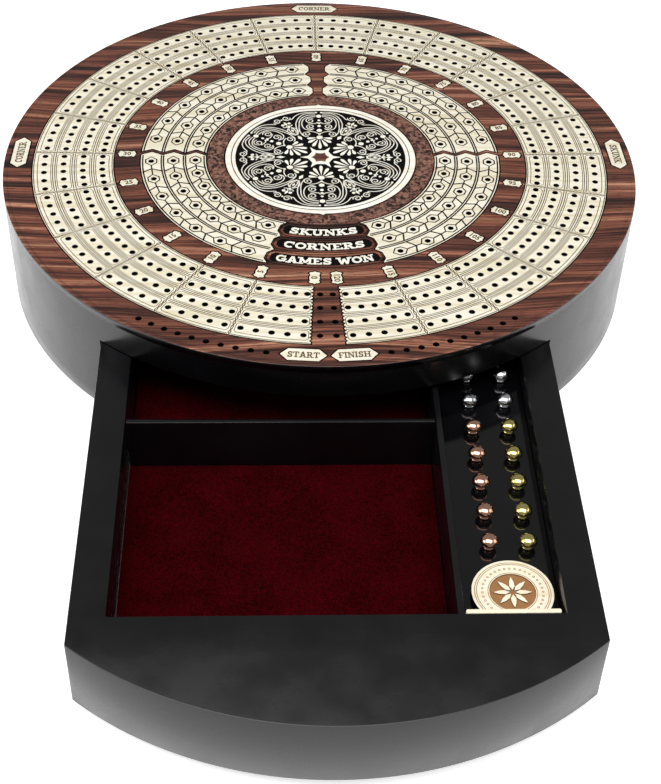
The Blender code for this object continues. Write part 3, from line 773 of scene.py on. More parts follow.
# %% Track and score inlays, plates, plaques and number plates
INLAY_LOW = SURFACE - INLAY_THICKNESS


def inlay(node, holes):
    loops = [grown(outlines[node], INLAY_SHRINK)] + hole_loops(holes)
    piece = flat_piece(node + "_inlay", loops, INLAY_LOW, SURFACE)
    paint(piece, maple, char_and_shade)
    return settle(piece, "drum", "maple", node)


inlay("track_ring", track_holes())
for back, end in ((False, "front"), (True, "back")):
    inlay(f"score_inlay_{end}_right", score_holes(back))
    inlay(f"score_inlay_{end}_left", [(-x, y) for x, y in score_holes(back)])
for node in PLAQUES:
    inlay(node, [])

number_plates = []
for k, outline in enumerate(shields):
    plate = flat_piece(f"number_plate_{k}", [grown(outline, INLAY_SHRINK)], INLAY_LOW, SURFACE)
    paint(plate, maple, char_and_shade)
    number_plates.append(plate)
settle(join("number_plates", number_plates), "drum", "maple")
print("number plates:", len(shields))


# %% Word plates: a rosewood frame round a scorched field
FRAME_WIDTH = 0.00125


def word_plate(node):
    outline = outlines[node]
    field = grown(outline, -FRAME_WIDTH)
    frame_piece = flat_piece(node + "_frame", [grown(outline, INLAY_SHRINK), field], INLAY_LOW, SURFACE)
    paint(frame_piece, rosewood, char_and_shade)
    inner = grown(outline, -0.00005 - FRAME_WIDTH)
    ground = flat_piece(node + "_field", [inner], INLAY_LOW, SURFACE - 0.0003)
    paint(ground, plate_field, char_and_shade)
    return join(node + "_inlay", [frame_piece, ground])


for node in PLATES:
    settle(word_plate(node), "drum", "ebonised", node)
print("word plates:", len(PLATES))

# %% [markdown]
# ## Laser lines
#
# The tracks are framed group by group, a plaited band crosses them at every fifth hole, and each
# score hole sits in a hexagon between chevrons. How deep the laser cuts isn't known. Here the
# lines are not cut at all: they are fine curves with a small bevel, pressed almost flat on the
# maple, so they stand a little above it.


# %% Lines on the tracks
def track_cartouches():
    """A frame with cut corners round each group of five holes."""
    paths = []
    half, cut = 0.00265, 0.0009
    for k in range(GROUPS):
        start, end = boundary(k), boundary(k + 1)
        for radius in TRACKS:
            inset = math.degrees(0.0011 / radius)
            bevel = math.degrees(cut / radius)
            low, high = start + inset, end - inset
            outer = arc(radius + half, low + bevel, high - bevel)
            right = [polar(radius + half - cut, high), polar(radius - half + cut, high)]
            inner = arc(radius - half, high - bevel, low + bevel)
            left = [polar(radius - half + cut, low), polar(radius + half - cut, low)]
            paths.append((outer + right + inner + left, True))
    return paths


def track_long_lines():
    """Double lines between the tracks and single ones near both edges, broken at the plaits."""
    paths = []
    between = [(a + b) / 2 for a, b in zip(TRACKS, TRACKS[1:])]
    levels = [radius + side * 0.00045 for radius in between for side in (-1, 1)]
    levels += [TRACK_IN + 0.0007, TRACK_OUT - 0.0007]
    for k in range(GROUPS):
        for radius in levels:
            inset = math.degrees(0.0007 / radius)
            paths.append((arc(radius, boundary(k) + inset, boundary(k + 1) - inset), False))
    return paths


def plaits():
    """Two strands that cross each other, 2.6 mm from crossing to crossing."""
    paths = []
    count, crossings = 37, 12
    for k in range(1, GROUPS):
        for side in (-1, 1):
            points = []
            for i in range(count):
                share = i / (count - 1)
                radius = TRACK_IN + 0.0004 + share * (TRACK_OUT - TRACK_IN - 0.0008)
                swing = side * 0.00042 * math.sin(math.pi * crossings * share)
                points.append(local(radius, boundary(k), swing, 0.0))
            paths.append((points, False))
    return paths


settle(fine_lines("track_frames", track_cartouches(), 0.00028, laser_line), "drum", "maple")
settle(fine_lines("track_long_lines", track_long_lines(), 0.00036, laser_line), "drum", "maple")
settle(fine_lines("track_plaits", plaits(), 0.00038, laser_line), "drum", "maple")


# %% Lines on the score inlays
def score_lines(back):
    """Long lines between the rows of one score inlay."""
    front_angle, side_angle, back_angle = SCORE_ANGLES
    start, end = (side_angle, back_angle) if back else (front_angle, side_angle)
    levels = [SCORE_IN + 0.0010, SCORE_IN + 3 * ROW_WIDTH - 0.0010]
    levels += [SCORE_IN + row * ROW_WIDTH + side * 0.00045 for row in (1, 2) for side in (-1, 1)]
    return [(arc(radius, start + 1.6, end - 0.4), False) for radius in levels]


def cell_marks(back):
    """The hexagon round each score hole and the link lines at its two points."""
    paths = []
    hexagon = [(3.0, 0), (1.2, 2.2), (-1.2, 2.2), (-3.0, 0), (-1.2, -2.2), (1.2, -2.2)]
    step = (BACK_CELL if back else FRONT_CELL)[1]
    for row in range(3):
        middle = row_radii(row)[1]
        for angle in cell_angles(back):
            points = [local(middle, angle, u / 1000, v / 1000) for u, v in hexagon]
            paths.append((points, True))
            reach = math.degrees(0.0030 / middle)
            if angle + step / 2 < SCORE_ANGLES[2 if back else 1] - 2:
                link = [polar(middle, angle + reach), polar(middle, angle + step - reach)]
                paths.append((link, False))
    return paths


def chevrons(back):
    """The dark line between two cells has the same half hexagon as the inlay's end."""
    paths = []
    first, step = BACK_CELL if back else FRONT_CELL
    for row in range(3):
        inner, middle, outer = row_radii(row)
        tip = math.degrees(NOTCH / middle)
        for k in range(6):
            angle = first + step * (k + 0.57) - tip
            points = [polar(inner + 0.0006, angle), polar(middle, angle + tip)]
            points.append(polar(outer - 0.0006, angle))
            paths.append((points, False))
    return paths


def both_sides(paths):
    return paths + [(mirrored(points), closed) for points, closed in paths]


score_line_paths = both_sides(score_lines(False) + score_lines(True))
cell_paths = both_sides(cell_marks(False) + cell_marks(True))
chevron_paths = both_sides(chevrons(False) + chevrons(True))
settle(fine_lines("score_row_lines", score_line_paths, 0.00060, dark_line), "drum", "maple")
settle(fine_lines("score_hexagons", cell_paths, 0.00058, dark_line), "drum", "maple")
settle(fine_lines("score_chevrons", chevron_paths, 0.00070, dark_line), "drum", "maple")


# %% [markdown]
# ## Numbers and words
#
# The numbers are small and plain, so a text object gives them. Text is made a mesh before it is
# turned into place, because the export takes meshes only. They run along the radius and stand
# upright for someone in front of the board.


# %% Numbers
def number_text(k):
    """The count runs clockwise from the left of the gap, so k is counted the other way round."""
    text = lettering(f"number_{k}", str(5 * k), 0.0032, 0.00008)
    angle = boundary(GROUPS - k)
    on_left = angle > 180
    x, y = polar(NUMBERS_AT, angle)
    # along the radius: inwards on the left half, outwards on the right half
    facing = math.radians(angle + (90 if on_left else -90))
    text.data.transform(Matrix.Translation((x, y, 0.0)) @ Matrix.Rotation(facing, 4, "Z"))
    paint(text, laser_line)
    return text


settle(join("count_numbers", [number_text(k) for k in range(GROUPS + 1)]), "drum", "maple")
print("numbers: 0 to", 5 * GROUPS)


# %% [markdown]
# ### Slab letters
#
# The words are cut in a bold slab letter, whose feet are square bars. Each letter is a few strokes
# on a grid one unit high, and every stroke is widened into a flat ribbon. Drawing them on a grid,
# and not with a text object, lets the same word follow a straight plaque or a curved plate.

# %% The letters
STEM, SLAB = 0.19, 0.13
STROKE_STEP = 0.000005


def ribbon(points, width):
    """A line of points widened to an outline."""
    left, right = [], []
    for i, (x, y) in enumerate(points):
        before, after = points[max(0, i - 1)], points[min(len(points) - 1, i + 1)]
        across, up = normal_of(before, after)
        left.append((x + across * width / 2, y + up * width / 2))
        right.append((x - across * width / 2, y - up * width / 2))
    return left + right[::-1]


def bow(x, y, reach, rise, start, end, count=11):
    """Part of an ellipse, in degrees from its right end."""
    turns = [math.radians(start + (end - start) * i / (count - 1)) for i in range(count)]
    return [(x + reach * math.cos(t), y + rise * math.sin(t)) for t in turns]


def foot(x, low=True):
    y = SLAB / 2 if low else 1 - SLAB / 2
    return (SLAB, [(x - 0.22, y), (x + 0.22, y)])


def stem(x, low=0.0, high=1.0):
    return (STEM, [(x, low), (x, high)])


def thin(*points):
    return (SLAB, list(points))


def bold(*points):
    return (STEM, list(points))


LETTERS = {
    "A": (0.98, [bold((0.2, 0), (0.45, 1)), bold((0.5, 1), (0.78, 0)), thin((0.3, 0.3), (0.66, 0.3))]),
    "C": (0.88, [(STEM, bow(0.46, 0.5, 0.33, 0.4, 50, 310)), thin((0.76, 0.62), (0.76, 0.98))]),
    "E": (0.84, [stem(0.22), thin((0.02, 0.92), (0.74, 0.92)), thin((0.02, 0.08), (0.78, 0.08))]),
    "F": (0.80, [stem(0.22), thin((0.02, 0.92), (0.74, 0.92)), foot(0.22)]),
    "G": (0.94, [(STEM, bow(0.46, 0.5, 0.33, 0.4, 50, 310)), thin((0.5, 0.44), (0.94, 0.44))]),
    "H": (1.00, [stem(0.22), stem(0.78), foot(0.22), foot(0.78), thin((0.22, 0.5), (0.78, 0.5))]),
    "I": (0.46, [stem(0.22), foot(0.22), foot(0.22, False)]),
    "K": (0.98, [stem(0.22), foot(0.22), foot(0.22, False), thin((0.28, 0.42), (0.74, 0.95))]),
    "M": (1.16, [stem(0.2), stem(0.96), bold((0.2, 0.95), (0.58, 0.2)), bold((0.58, 0.2), (0.96, 0.95))]),
    "N": (1.00, [thin((0.2, 0), (0.2, 1)), thin((0.8, 0), (0.8, 1)), bold((0.2, 0.95), (0.8, 0.05))]),
    "O": (0.92, [(STEM, bow(0.46, 0.5, 0.34, 0.4, 0, 360, 21))]),
    "R": (0.94, [stem(0.22), foot(0.22), thin((0.0, 0.92), (0.5, 0.92)), foot(0.8)]),
    "S": (0.80, [thin((0.13, 0.02), (0.13, 0.34)), thin((0.66, 0.66), (0.66, 0.98))]),
    "T": (0.88, [stem(0.43), foot(0.43), thin((0.02, 0.92), (0.84, 0.92)), thin((0.08, 0.66), (0.08, 0.98))]),
    "U": (0.96, [stem(0.22, 0.3), stem(0.74, 0.3), foot(0.22, False), foot(0.74, False)]),
    "W": (1.22, [bold((0.14, 1), (0.38, 0)), bold((0.38, 0), (0.6, 0.8)), bold((0.6, 0.8), (0.82, 0))]),
    " ": (0.40, []),
}
LETTERS["A"][1].extend([foot(0.18), foot(0.8)])
LETTERS["E"][1].extend([thin((0.22, 0.5), (0.56, 0.5)), thin((0.72, 0.72), (0.72, 0.96))])
LETTERS["E"][1].append(thin((0.74, 0.04), (0.74, 0.3)))
LETTERS["F"][1].extend([thin((0.22, 0.5), (0.56, 0.5)), thin((0.72, 0.68), (0.72, 0.96))])
LETTERS["G"][1].extend([thin((0.76, 0.62), (0.76, 0.98)), thin((0.78, 0.06), (0.78, 0.44))])
LETTERS["H"][1].extend([foot(0.22, False), foot(0.78, False)])
LETTERS["K"][1].extend([bold((0.42, 0.55), (0.76, 0.06)), foot(0.8), foot(0.76, False)])
LETTERS["M"][1].extend([foot(0.2), foot(0.96), foot(0.14, False), foot(1.02, False)])
LETTERS["N"][1].extend([foot(0.2), foot(0.14, False), foot(0.8, False)])
LETTERS["R"][1].extend([(STEM, bow(0.48, 0.72, 0.2, 0.2, 90, -90)), thin((0.22, 0.5), (0.5, 0.5))])
LETTERS["R"][1].append(bold((0.46, 0.48), (0.74, 0.06)))
LETTERS["S"][1].append((STEM, bow(0.4, 0.72, 0.22, 0.19, 20, 250) + bow(0.39, 0.29, 0.24, 0.2, 75, -160)))
LETTERS["T"][1].append(thin((0.78, 0.66), (0.78, 0.98)))
LETTERS["U"][1].append((STEM, bow(0.48, 0.33, 0.26, 0.24, 180, 360)))
LETTERS["W"][1].extend([bold((0.82, 0), (1.06, 1)), foot(0.14, False), foot(1.06, False)])


def word(name, text, height, length, place, level, material, low):
    """Every stroke of a word as a flat piece; place turns (along, up) in metres into x and y."""
    total = sum(LETTERS[letter][0] for letter in text)
    widen = length / total
    pieces, along = [], -length / 2
    for letter in text:
        width, strokes = LETTERS[letter]
        for thickness, points in strokes:
            outline = ribbon(points, thickness)
            placed = [place(along + x * widen, (y - 0.5) * height) for x, y in outline]
            # strokes that cross lie a few thousandths of a millimetre apart
            top_level = level - STROKE_STEP * (len(pieces) % 7)
            pieces.append(flat_piece(f"{name}_{len(pieces)}", [placed], low, top_level))
        along += width * widen
    joined = join(name, pieces)
    paint(joined, material)
    return joined


# %% Words in front
def on_row(row):
    middle = row_radii(row)[1]

    def place(along, up):
        return polar(middle - up, math.degrees(along / middle))

    return place


WORDS = (("SKUNKS", 0.0262), ("CORNERS", 0.0310), ("GAMES WON", 0.0372))
for row, (text, length) in enumerate(WORDS):
    name = "plate_letters_" + text.lower().replace(" ", "_")
    letters = word(name, text, 0.0038, length, on_row(row), SURFACE, letter_fill, SURFACE - 0.0004)
    settle(letters, "drum", "ebonised")


# %% Words on the plaques
def on_plaque(node, facing):
    turn = math.radians(facing)
    cos, sin = math.cos(turn), math.sin(turn)
    x, y = polar(PLAQUES_AT, PLAQUES[node][1])

    def place(along, up):
        return x + along * cos - up * sin, y + along * sin + up * cos

    return place


def plaque_word(node, text, length, facing):
    name = node + "_letters"
    place = on_plaque(node, facing)
    letters = word(name, text, 0.0030, length, place, SURFACE + 0.00005, laser_line, SURFACE - 0.00005)
    settle(letters, "drum", "maple")


plaque_word("plaque_start", "START", 0.0114, -4.22)
plaque_word("plaque_finish", "FINISH", 0.0114, 4.22)
plaque_word("plaque_corner_left", "CORNER", 0.0146, 90 - 1.4)
plaque_word("plaque_corner_back", "CORNER", 0.0146, 0)
plaque_word("plaque_skunk_right", "SKUNK", 0.0132, -90 + 1.4)

# %% [markdown]
# ## The medallion
#
# A maple border holds a black field with six-fold scrollwork. One sixth is designed beside an axis
# that runs out from the centre: a fan of petals, a chain of beads, scrolls that curl beside it and
# long stems that wrap them. It is mirrored about its axis and turned into place six times. Thin
# parts are curves, as a scroll saw leaves them, and leaves and beads are flat pieces.

# %% Border and field
border = flat_piece(
    "medallion_border", [grown(outlines["medallion"], INLAY_SHRINK), ring(FIELD, 96)], INLAY_LOW, SURFACE
)
paint(border, letter_fill, char_and_shade)
field = flat_piece("medallion_field", [ring(FIELD - 0.0001, 96)], INLAY_LOW, SURFACE - 0.00005)
paint(field, plate_field, char_and_shade)
settle(join("medallion_inlay", [border, field]), "drum", "maple", "medallion")
border_line = [(ring(BORDER_LINE, 120), True)]
settle(fine_lines("medallion_border_line", border_line, 0.00036, dark_line), "drum", "maple")


# %% Scrollwork
def scroll(across, out, size, start, turns, points=22):
    """A spiral that winds in from its rim to its eye. Sizes in millimetres."""
    path = []
    for i in range(points):
        share = i / (points - 1)
        angle = math.radians(start + 360 * turns * share)
        reach = size * (1 - 0.8 * share)
        path.append((across + reach * math.cos(angle), out + reach * math.sin(angle)))
    return path


def through(*stops, steps=5):
    """A smooth stem through every point (a Catmull-Rom curve)."""
    path = []
    count = len(stops)
    for i in range(count - 1):
        before, a, b, after = (stops[max(0, min(count - 1, i + k))] for k in (-1, 0, 1, 2))
        for step in range(steps):
            t = step / steps
            point = []
            for axis in (0, 1):
                first = 2 * a[axis] + (b[axis] - before[axis]) * t
                second = (2 * before[axis] - 5 * a[axis] + 4 * b[axis] - after[axis]) * t * t
                third = (3 * a[axis] - before[axis] - 3 * b[axis] + after[axis]) * t**3
                point.append((first + second + third) / 2)
            path.append(tuple(point))
    return path + [stops[-1]]


beside_axis = [
    scroll(5.2, 16.8, 2.0, 250, 1.5),
    scroll(3.6, 22.4, 2.0, 230, 1.5),
    scroll(3.7, 26.9, 2.1, 130, -1.5),
    scroll(13.8, 28.4, 1.8, 160, 1.4),
]
stops_beside_axis = [
    [(2.2, 20.9), (3.9, 19.8), (6.0, 20.6), (7.0, 22.8), (7.1, 25.5), (6.2, 28.2), (4, 29.6), (1.4, 30)],
    [(6.6, 15.4), (7.7, 17.6), (8.3, 20.6), (8.3, 23.5), (8.1, 26.4), (6.9, 29.2), (4.2, 31), (1.3, 31)],
    [(10.2, 15.8), (9.0, 17.4), (9.2, 19.8), (9.6, 22.6), (9.5, 25.6), (8.2, 29.4), (5.6, 32), (1.5, 32.1)],
    [(12.2, 27.7), (11.2, 28.0), (10.0, 30.2), (7.6, 32.3), (4.0, 33.2), (1.4, 33.3)],
    [(0.4, 17.2), (1.7, 18.2), (3.4, 18.8), (4.9, 18.8)],
    [(0.5, 25.8), (1.4, 24.8), (2.6, 24.7), (4.6, 25.0)],
]
beside_axis += [through(*stops) for stops in stops_beside_axis]
between_axes = [
    through((0.2, 18.6), (1.9, 20.6), (2.1, 22.8), (0.6, 24.6)),
    through((0.3, 19.9), (1.0, 21.0), (1.0, 23.4), (0.3, 24.0)),
    through((2.2, 26.2), (1.2, 25.6), (0.3, 26.3)),
]
PETALS = ((0.0, 8.4), (24.0, 7.3), (51.0, 6.1), (79.0, 5.3))


def petal(lean, length):
    """A drop that grows from the fan's foot towards the centre."""
    turn = math.radians(lean)
    shape = [(0.0, 1.5), (0.3, 0.45 * length), (0.72, 0.76 * length), (0.6, 0.92 * length), (0.0, length)]
    shape += [(-side, along) for side, along in reversed(shape[1:-1])]
    foot_at = 14.4
    points = []
    for side, along in shape:
        across = side * math.cos(turn) + along * math.sin(turn)
        inwards = along * math.cos(turn) - side * math.sin(turn)
        points.append((across, foot_at - inwards))
    return points


def six_times(shapes):
    """Millimetre shapes beside an axis, turned into place on the medallion."""
    placed = []
    for turn in range(6):
        for shape in shapes:
            placed.append([local(0.0, 60.0 * turn, u / 1000, v / 1000) for u, v in shape])
    return placed


def reflected(shapes):
    return shapes + [[(-u, v) for u, v in reversed(shape)] for shape in shapes]


def turned_by(shapes, degrees):
    turn = math.radians(degrees)
    cos, sin = math.cos(turn), math.sin(turn)
    return [[(u * cos - v * sin, u * sin + v * cos) for u, v in shape] for shape in shapes]


stems = reflected(beside_axis) + turned_by(reflected(between_axes), 30)
scroll_paths = [(points, False) for points in six_times(stems)]
settle(fine_lines("medallion_scrolls", scroll_paths, 0.00054, letter_fill), "drum", "maple")
print("scrolls and stems:", len(scroll_paths))


def bead(out, radius, across=0.0):
    turns = [math.pi * i / 4 for i in range(8)]
    return [(across + radius * math.cos(a), out + radius * math.sin(a)) for a in turns]


def spear(out, length, width):
    """A diamond on the axis."""
    return [(0.0, out - length / 2), (width / 2, out), (0.0, out + length / 2), (-width / 2, out)]


on_axis = [bead(14.4, 1.35), bead(16.9, 0.55), bead(19.5, 1.15), bead(22.8, 0.75), bead(24.9, 0.65)]
on_axis += [bead(27.1, 0.6), bead(30.3, 1.15), bead(33.1, 0.5, 1.1), bead(33.1, 0.5, -1.1)]
petals = [petal(lean, length) for lean, length in PETALS]
petals += [[(-u, v) for u, v in reversed(shape)] for shape in petals[1:]]
leaves = [spear(16.2, 3.6, 1.7), spear(22.2, 2.2, 1.2), spear(25.3, 1.6, 1.5), spear(28.0, 3.2, 1.3)]
leaves += [bead(27.6, 0.75, 1.5), bead(27.6, 0.75, -1.5), bead(31.3, 0.45)]
solid = []
for number, shape in enumerate(six_times(on_axis + petals + turned_by(leaves, 30))):
    solid.append(flat_piece(f"ornament_{number}", [shape], SURFACE - 0.0001, SURFACE + 0.00002))
print("ornaments:", len(solid))
ornaments = join("medallion_ornaments", solid)
paint(ornaments, letter_fill)
settle(ornaments, "drum", "maple")


# %% Star
def star(tip, shoulder, notch):
    """Six spear points between the fans."""
    points = []
    for i in range(6):
        for turn, radius in ((0, notch), (20, shoulder), (30, tip), (40, shoulder)):
            points.append(polar(radius, 60 * i + turn))
    return points


star_band = flat_piece(
    "medallion_star", [star(0.0082, 0.0052, 0.0048), star(0.0038, 0.0031, 0.0027)], SURFACE - 0.0001, SURFACE
)
paint(star_band, letter_fill)
settle(star_band, "drum", "maple")
star_heart = flat_piece(
    "medallion_heart", [star(0.0037, 0.0030, 0.0026)], SURFACE - 0.0001, SURFACE - 0.00002
)
paint(star_heart, rosewood)
settle(star_heart, "drum", "rosewood")

# %% [markdown]
# ## The drum
#
# Under the lacquer the drum is a base panel, two cheeks, a back block and a top panel. The lacquer
# was sprayed after the glue had set, so no seam shows: the pieces meet exactly, and only the outer
# edges have an arris. Each starts as a cylinder and is cut with the bisect tool, which leaves one
# clean face where a boolean could leave slivers along the curve.

# %% Cylinders cut to shape
SIDES = 192


def cylinder(name, low, high, centre=(0.0, 0.0)):
    deselect_all()
    place = (centre[0], centre[1], (low + high) / 2)
    bpy.ops.mesh.primitive_cylinder_add(vertices=SIDES, radius=RADIUS, depth=high - low, location=place)
    obj = bpy.context.active_object
    obj.name = name
    apply_place(obj)
    return obj


def keep_side(obj, point, towards):
    """Cut the piece with a plane and keep the side that the normal points to."""
    pick(obj)
    bpy.ops.object.mode_set(mode="EDIT")
    bpy.ops.mesh.select_all(action="SELECT")
    bpy.ops.mesh.bisect(plane_co=point, plane_no=towards, use_fill=True, clear_inner=True)
    bpy.ops.object.mode_set(mode="OBJECT")
    clean_mesh(obj)


def round_edges(obj, chosen, width, segments=2):
    """Bevel the edges that the test picks by their two end points."""
    pick(obj)
    bpy.ops.object.mode_set(mode="EDIT")
    bpy.ops.mesh.select_mode(type="EDGE")
    bpy.ops.mesh.select_all(action="DESELECT")
    bpy.ops.object.mode_set(mode="OBJECT")
    points = obj.data.vertices
    count = 0
    for edge in obj.data.edges:
        a, b = (points[v].co for v in edge.vertices)
        edge.select = bool(chosen(a, b))
        count += edge.select
    bpy.ops.object.mode_set(mode="EDIT")
    if count:
        bpy.ops.mesh.bevel(offset=width, segments=segments, affect="EDGES")
    bpy.ops.object.mode_set(mode="OBJECT")


def smooth(obj, angle=30):
    pick(obj)
    bpy.ops.object.shade_smooth_by_angle(angle=math.radians(angle))


def near(value, target):
    return abs(value - target) < 0.00002


base_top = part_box("base_panel")[1].z
panel_low, panel_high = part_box("top_panel")[0].z, FACE_LOW
pocket_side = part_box("right_cheek")[0].x
pocket_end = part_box("back_block")[0].y

base = cylinder("lacquered_base_panel", 0.0, base_top)
round_edges(base, lambda a, b: near(a.z, 0) and near(b.z, 0), 0.0005)
top = cylinder("lacquered_top_panel", panel_low, panel_high)
right = cylinder("lacquered_right_cheek", base_top, panel_low)
keep_side(right, (pocket_side, 0, 0), (1, 0, 0))
left = cylinder("lacquered_left_cheek", base_top, panel_low)
keep_side(left, (-pocket_side, 0, 0), (-1, 0, 0))
block = cylinder("lacquered_back_block", base_top, panel_low)
keep_side(block, (0, pocket_end, 0), (0, 1, 0))
keep_side(block, (pocket_side, 0, 0), (-1, 0, 0))
keep_side(block, (-pocket_side, 0, 0), (1, 0, 0))


# %% Push hole and magnet seats
def round_cutter(name, radius, low_y, high_y, x, z, sides=48):
    deselect_all()
    bpy.ops.mesh.primitive_cylinder_add(
        vertices=sides,
        radius=radius,
        depth=high_y - low_y,
        location=(x, (low_y + high_y) / 2, z),
        rotation=(math.pi / 2, 0, 0),
    )
    cutter = bpy.context.active_object
    cutter.name = name
    apply_place(cutter)
    return cutter


def subtract(obj, cutter):
    """Cut with a closed mesh, apply it and throw the cutter away."""
    pick(obj)
    boolean = obj.modifiers.new("cut", "BOOLEAN")
    boolean.object = cutter
    boolean.operation = "DIFFERENCE"
    boolean.solver = "EXACT"
    bpy.ops.object.modifier_apply(modifier="cut")
    bpy.data.objects.remove(cutter)


PUSH_HOLE_RADIUS, SEAT_ROOM = 0.011, 0.0002
magnet_low, magnet_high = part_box("block_magnet")
magnet_x, magnet_z = (magnet_low.x + magnet_high.x) / 2, (magnet_low.z + magnet_high.z) / 2
subtract(block, round_cutter("push_cutter", PUSH_HOLE_RADIUS, 0.07, 0.14, 0.0, magnet_z))
seat = (magnet_high.x - magnet_low.x) / 2 + SEAT_ROOM
seat_end = magnet_high.y + 0.0001
subtract(block, round_cutter("seat_cutter", seat, pocket_end - 0.005, seat_end, magnet_x, magnet_z))
for piece, node in (
    (base, "base_panel"),
    (top, "top_panel"),
    (right, "right_cheek"),
    (left, "left_cheek"),
    (block, "back_block"),
):
    paint(piece, lacquer)
    smooth(piece)
    settle(piece, "drum", "black_lacquer", node)
for node in ("block_magnet", "drawer_magnet"):
    frame["nodes"][node].data.materials.clear()
    frame["nodes"][node].data.materials.append(magnet_nickel)
print("drum pieces: 5, push hole", 2000 * PUSH_HOLE_RADIUS, "mm across")

# %% [markdown]
# ## The drawer
#
# The drawer's front block carries on the drum's round side, and its walls, bottom, back, divider
# and partition are plain lacquered boards. Each board's arrises were softened with sandpaper before
# it was sprayed. That is a bevel of a third of a millimetre, and it is what shows as a thin light
# line along every edge. The front is a slice of the same cylinder as the drum, moved out with the
# drawer, so the two curves meet when it is shut.

# %% Drawer front and boards
front_low, front_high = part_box("drawer_front")
slide_out = front_low.y + RADIUS
drawer_front = cylinder("lacquered_drawer_front", front_low.z, front_high.z, (0.0, slide_out))
keep_side(drawer_front, (0, front_high.y, 0), (0, -1, 0))
keep_side(drawer_front, (front_high.x, 0, 0), (-1, 0, 0))
keep_side(drawer_front, (front_low.x, 0, 0), (1, 0, 0))


def front_arris(a, b):
    level = near(a.z, b.z)
    inside_back = near(a.y, front_high.y) and near(b.y, front_high.y)
    corner = near(abs(a.x), front_high.x) and near(abs(b.x), front_high.x)
    walls = inside_back and max(abs(a.x), abs(b.x)) > front_high.x - 0.0001
    return (level and not walls) or (corner and not level and a.y < front_high.y - 0.001)


round_edges(drawer_front, front_arris, 0.00035)
paint(drawer_front, lacquer)
smooth(drawer_front)
settle(drawer_front, "drawer", "black_lacquer", "drawer_front")


def board(name, low, high):
    """A board between two corners, from a cube that is scaled to size."""
    deselect_all()
    middle = (Vector(low) + Vector(high)) / 2
    bpy.ops.mesh.primitive_cube_add(size=1.0, location=middle)
    obj = bpy.context.active_object
    obj.name = name
    obj.scale = Vector(high) - Vector(low)
    apply_place(obj)
    return obj


def drawer_board(node, along, slot="black_lacquer", finish=None, meets_front=False, width=0.0003):
    """A board with softened top edges along X or Y."""
    low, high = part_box(node)
    if meets_front:
        low.y = front_high.y
    piece = board("lacquered_" + node, low, high)
    axis = "xyz".index(along)
    across = 1 - axis

    def top_edge(a, b):
        return near(a.z, high.z) and near(b.z, high.z) and near(a[across], b[across])

    round_edges(piece, top_edge, width)
    paint(piece, finish or lacquer)
    smooth(piece)
    return settle(piece, "drawer", slot, node)


drawer_board("drawer_side_right", "y", meets_front=True)
drawer_board("drawer_side_left", "y", meets_front=True)
back_piece = drawer_board("drawer_back", "x")
seat_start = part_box("drawer_magnet")[0].y - 0.0001
subtract(back_piece, round_cutter("drawer_seat_cutter", seat, seat_start, 0.0, magnet_x, magnet_z))
drawer_board("drawer_bottom", "x")
drawer_board("card_divider", "x", width=0.0005)
drawer_board("peg_partition", "y", width=0.0005)
print(f"drawer out by {-1000 * slide_out:.1f} mm")


# %% [markdown]
# ### Velvet pads
#
# A pad is taken to be card wrapped in velvet and pressed into its well. It is built without a
# cloth simulation, as a thin board, divided finely, whose top edges roll over and whose top swells
# a little where the cloth is loose.


# %% Velvet pads
def velvet_pad(node):
    """Card wrapped in velvet: flat, with its edges rolled over."""
    low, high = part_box(node)
    pad = board(node + "_cloth", low, high)
    pick(pad)
    bpy.ops.object.mode_set(mode="EDIT")
    bpy.ops.mesh.select_all(action="SELECT")
    bpy.ops.mesh.subdivide(number_cuts=30)
    bpy.ops.object.mode_set(mode="OBJECT")
    middle = (low + high) / 2
    half = (high - low) / 2
    for vertex in pad.data.vertices:
        if vertex.co.z > middle.z:
            edge = min(half.x - abs(vertex.co.x - middle.x), half.y - abs(vertex.co.y - middle.y))
            roll = max(0.0, 1 - edge / 0.004)
            ripple = 0.00006 * math.sin(190 * vertex.co.x) * math.sin(230 * vertex.co.y + 1.0)
            vertex.co.z -= 0.0007 * roll * roll + 0.00008 + ripple
    paint(pad, velvet)
    smooth(pad, 60)
    settle(pad, "drawer", "velvet", node)


velvet_pad("velvet_pad_front")
velvet_pad("velvet_pad_rear")
print("velvet pads: 2")

# %% [markdown]
# ## The peg block and the pegs
#
# The block is drilled with two columns of ten holes. A peg is turned from a short brass rod: a
# pressed ball on a neck, a collar that stops it at the block, and a shaft that tapers to fit any
# hole on the board. One profile is turned with a Screw modifier and copied to twenty places, as a
# lathe would repeat it.

# %% Peg block
peg_nodes = sorted(name for name in frame["nodes"] if name.startswith("peg_") and name[-1].isdigit())
block_low, block_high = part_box("peg_block")


def peg_centre(node):
    low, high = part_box(node)
    return Vector(((low.x + high.x) / 2, (low.y + high.y) / 2, 0.0))


PEG_HOLE_RADIUS, DRILL_LENGTH = 0.00142, 0.028
peg_block = board("polished_peg_block", block_low, block_high)
drills = []
for node in peg_nodes:
    centre = peg_centre(node)
    place = (centre.x, centre.y, block_high.z + 0.0008)
    deselect_all()
    bpy.ops.mesh.primitive_cylinder_add(
        vertices=20, radius=PEG_HOLE_RADIUS, depth=DRILL_LENGTH, location=place
    )
    drills.append(bpy.context.active_object)
    apply_place(drills[-1])
subtract(peg_block, join("drills", drills))
paint(peg_block, gloss)
smooth(peg_block)
settle(peg_block, "drawer", "gloss_lacquer", "peg_block")
print("peg holes:", len(peg_nodes))

# %% Pegs
PEG_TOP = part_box("peg_copper_1")[1].z
PEG_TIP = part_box("peg_copper_1")[0].z
HEAD, NECK, COLLAR = 0.003, 0.0013, 0.0019
HALF_HEAD, SHAFT_LENGTH = 0.0022, 0.0126


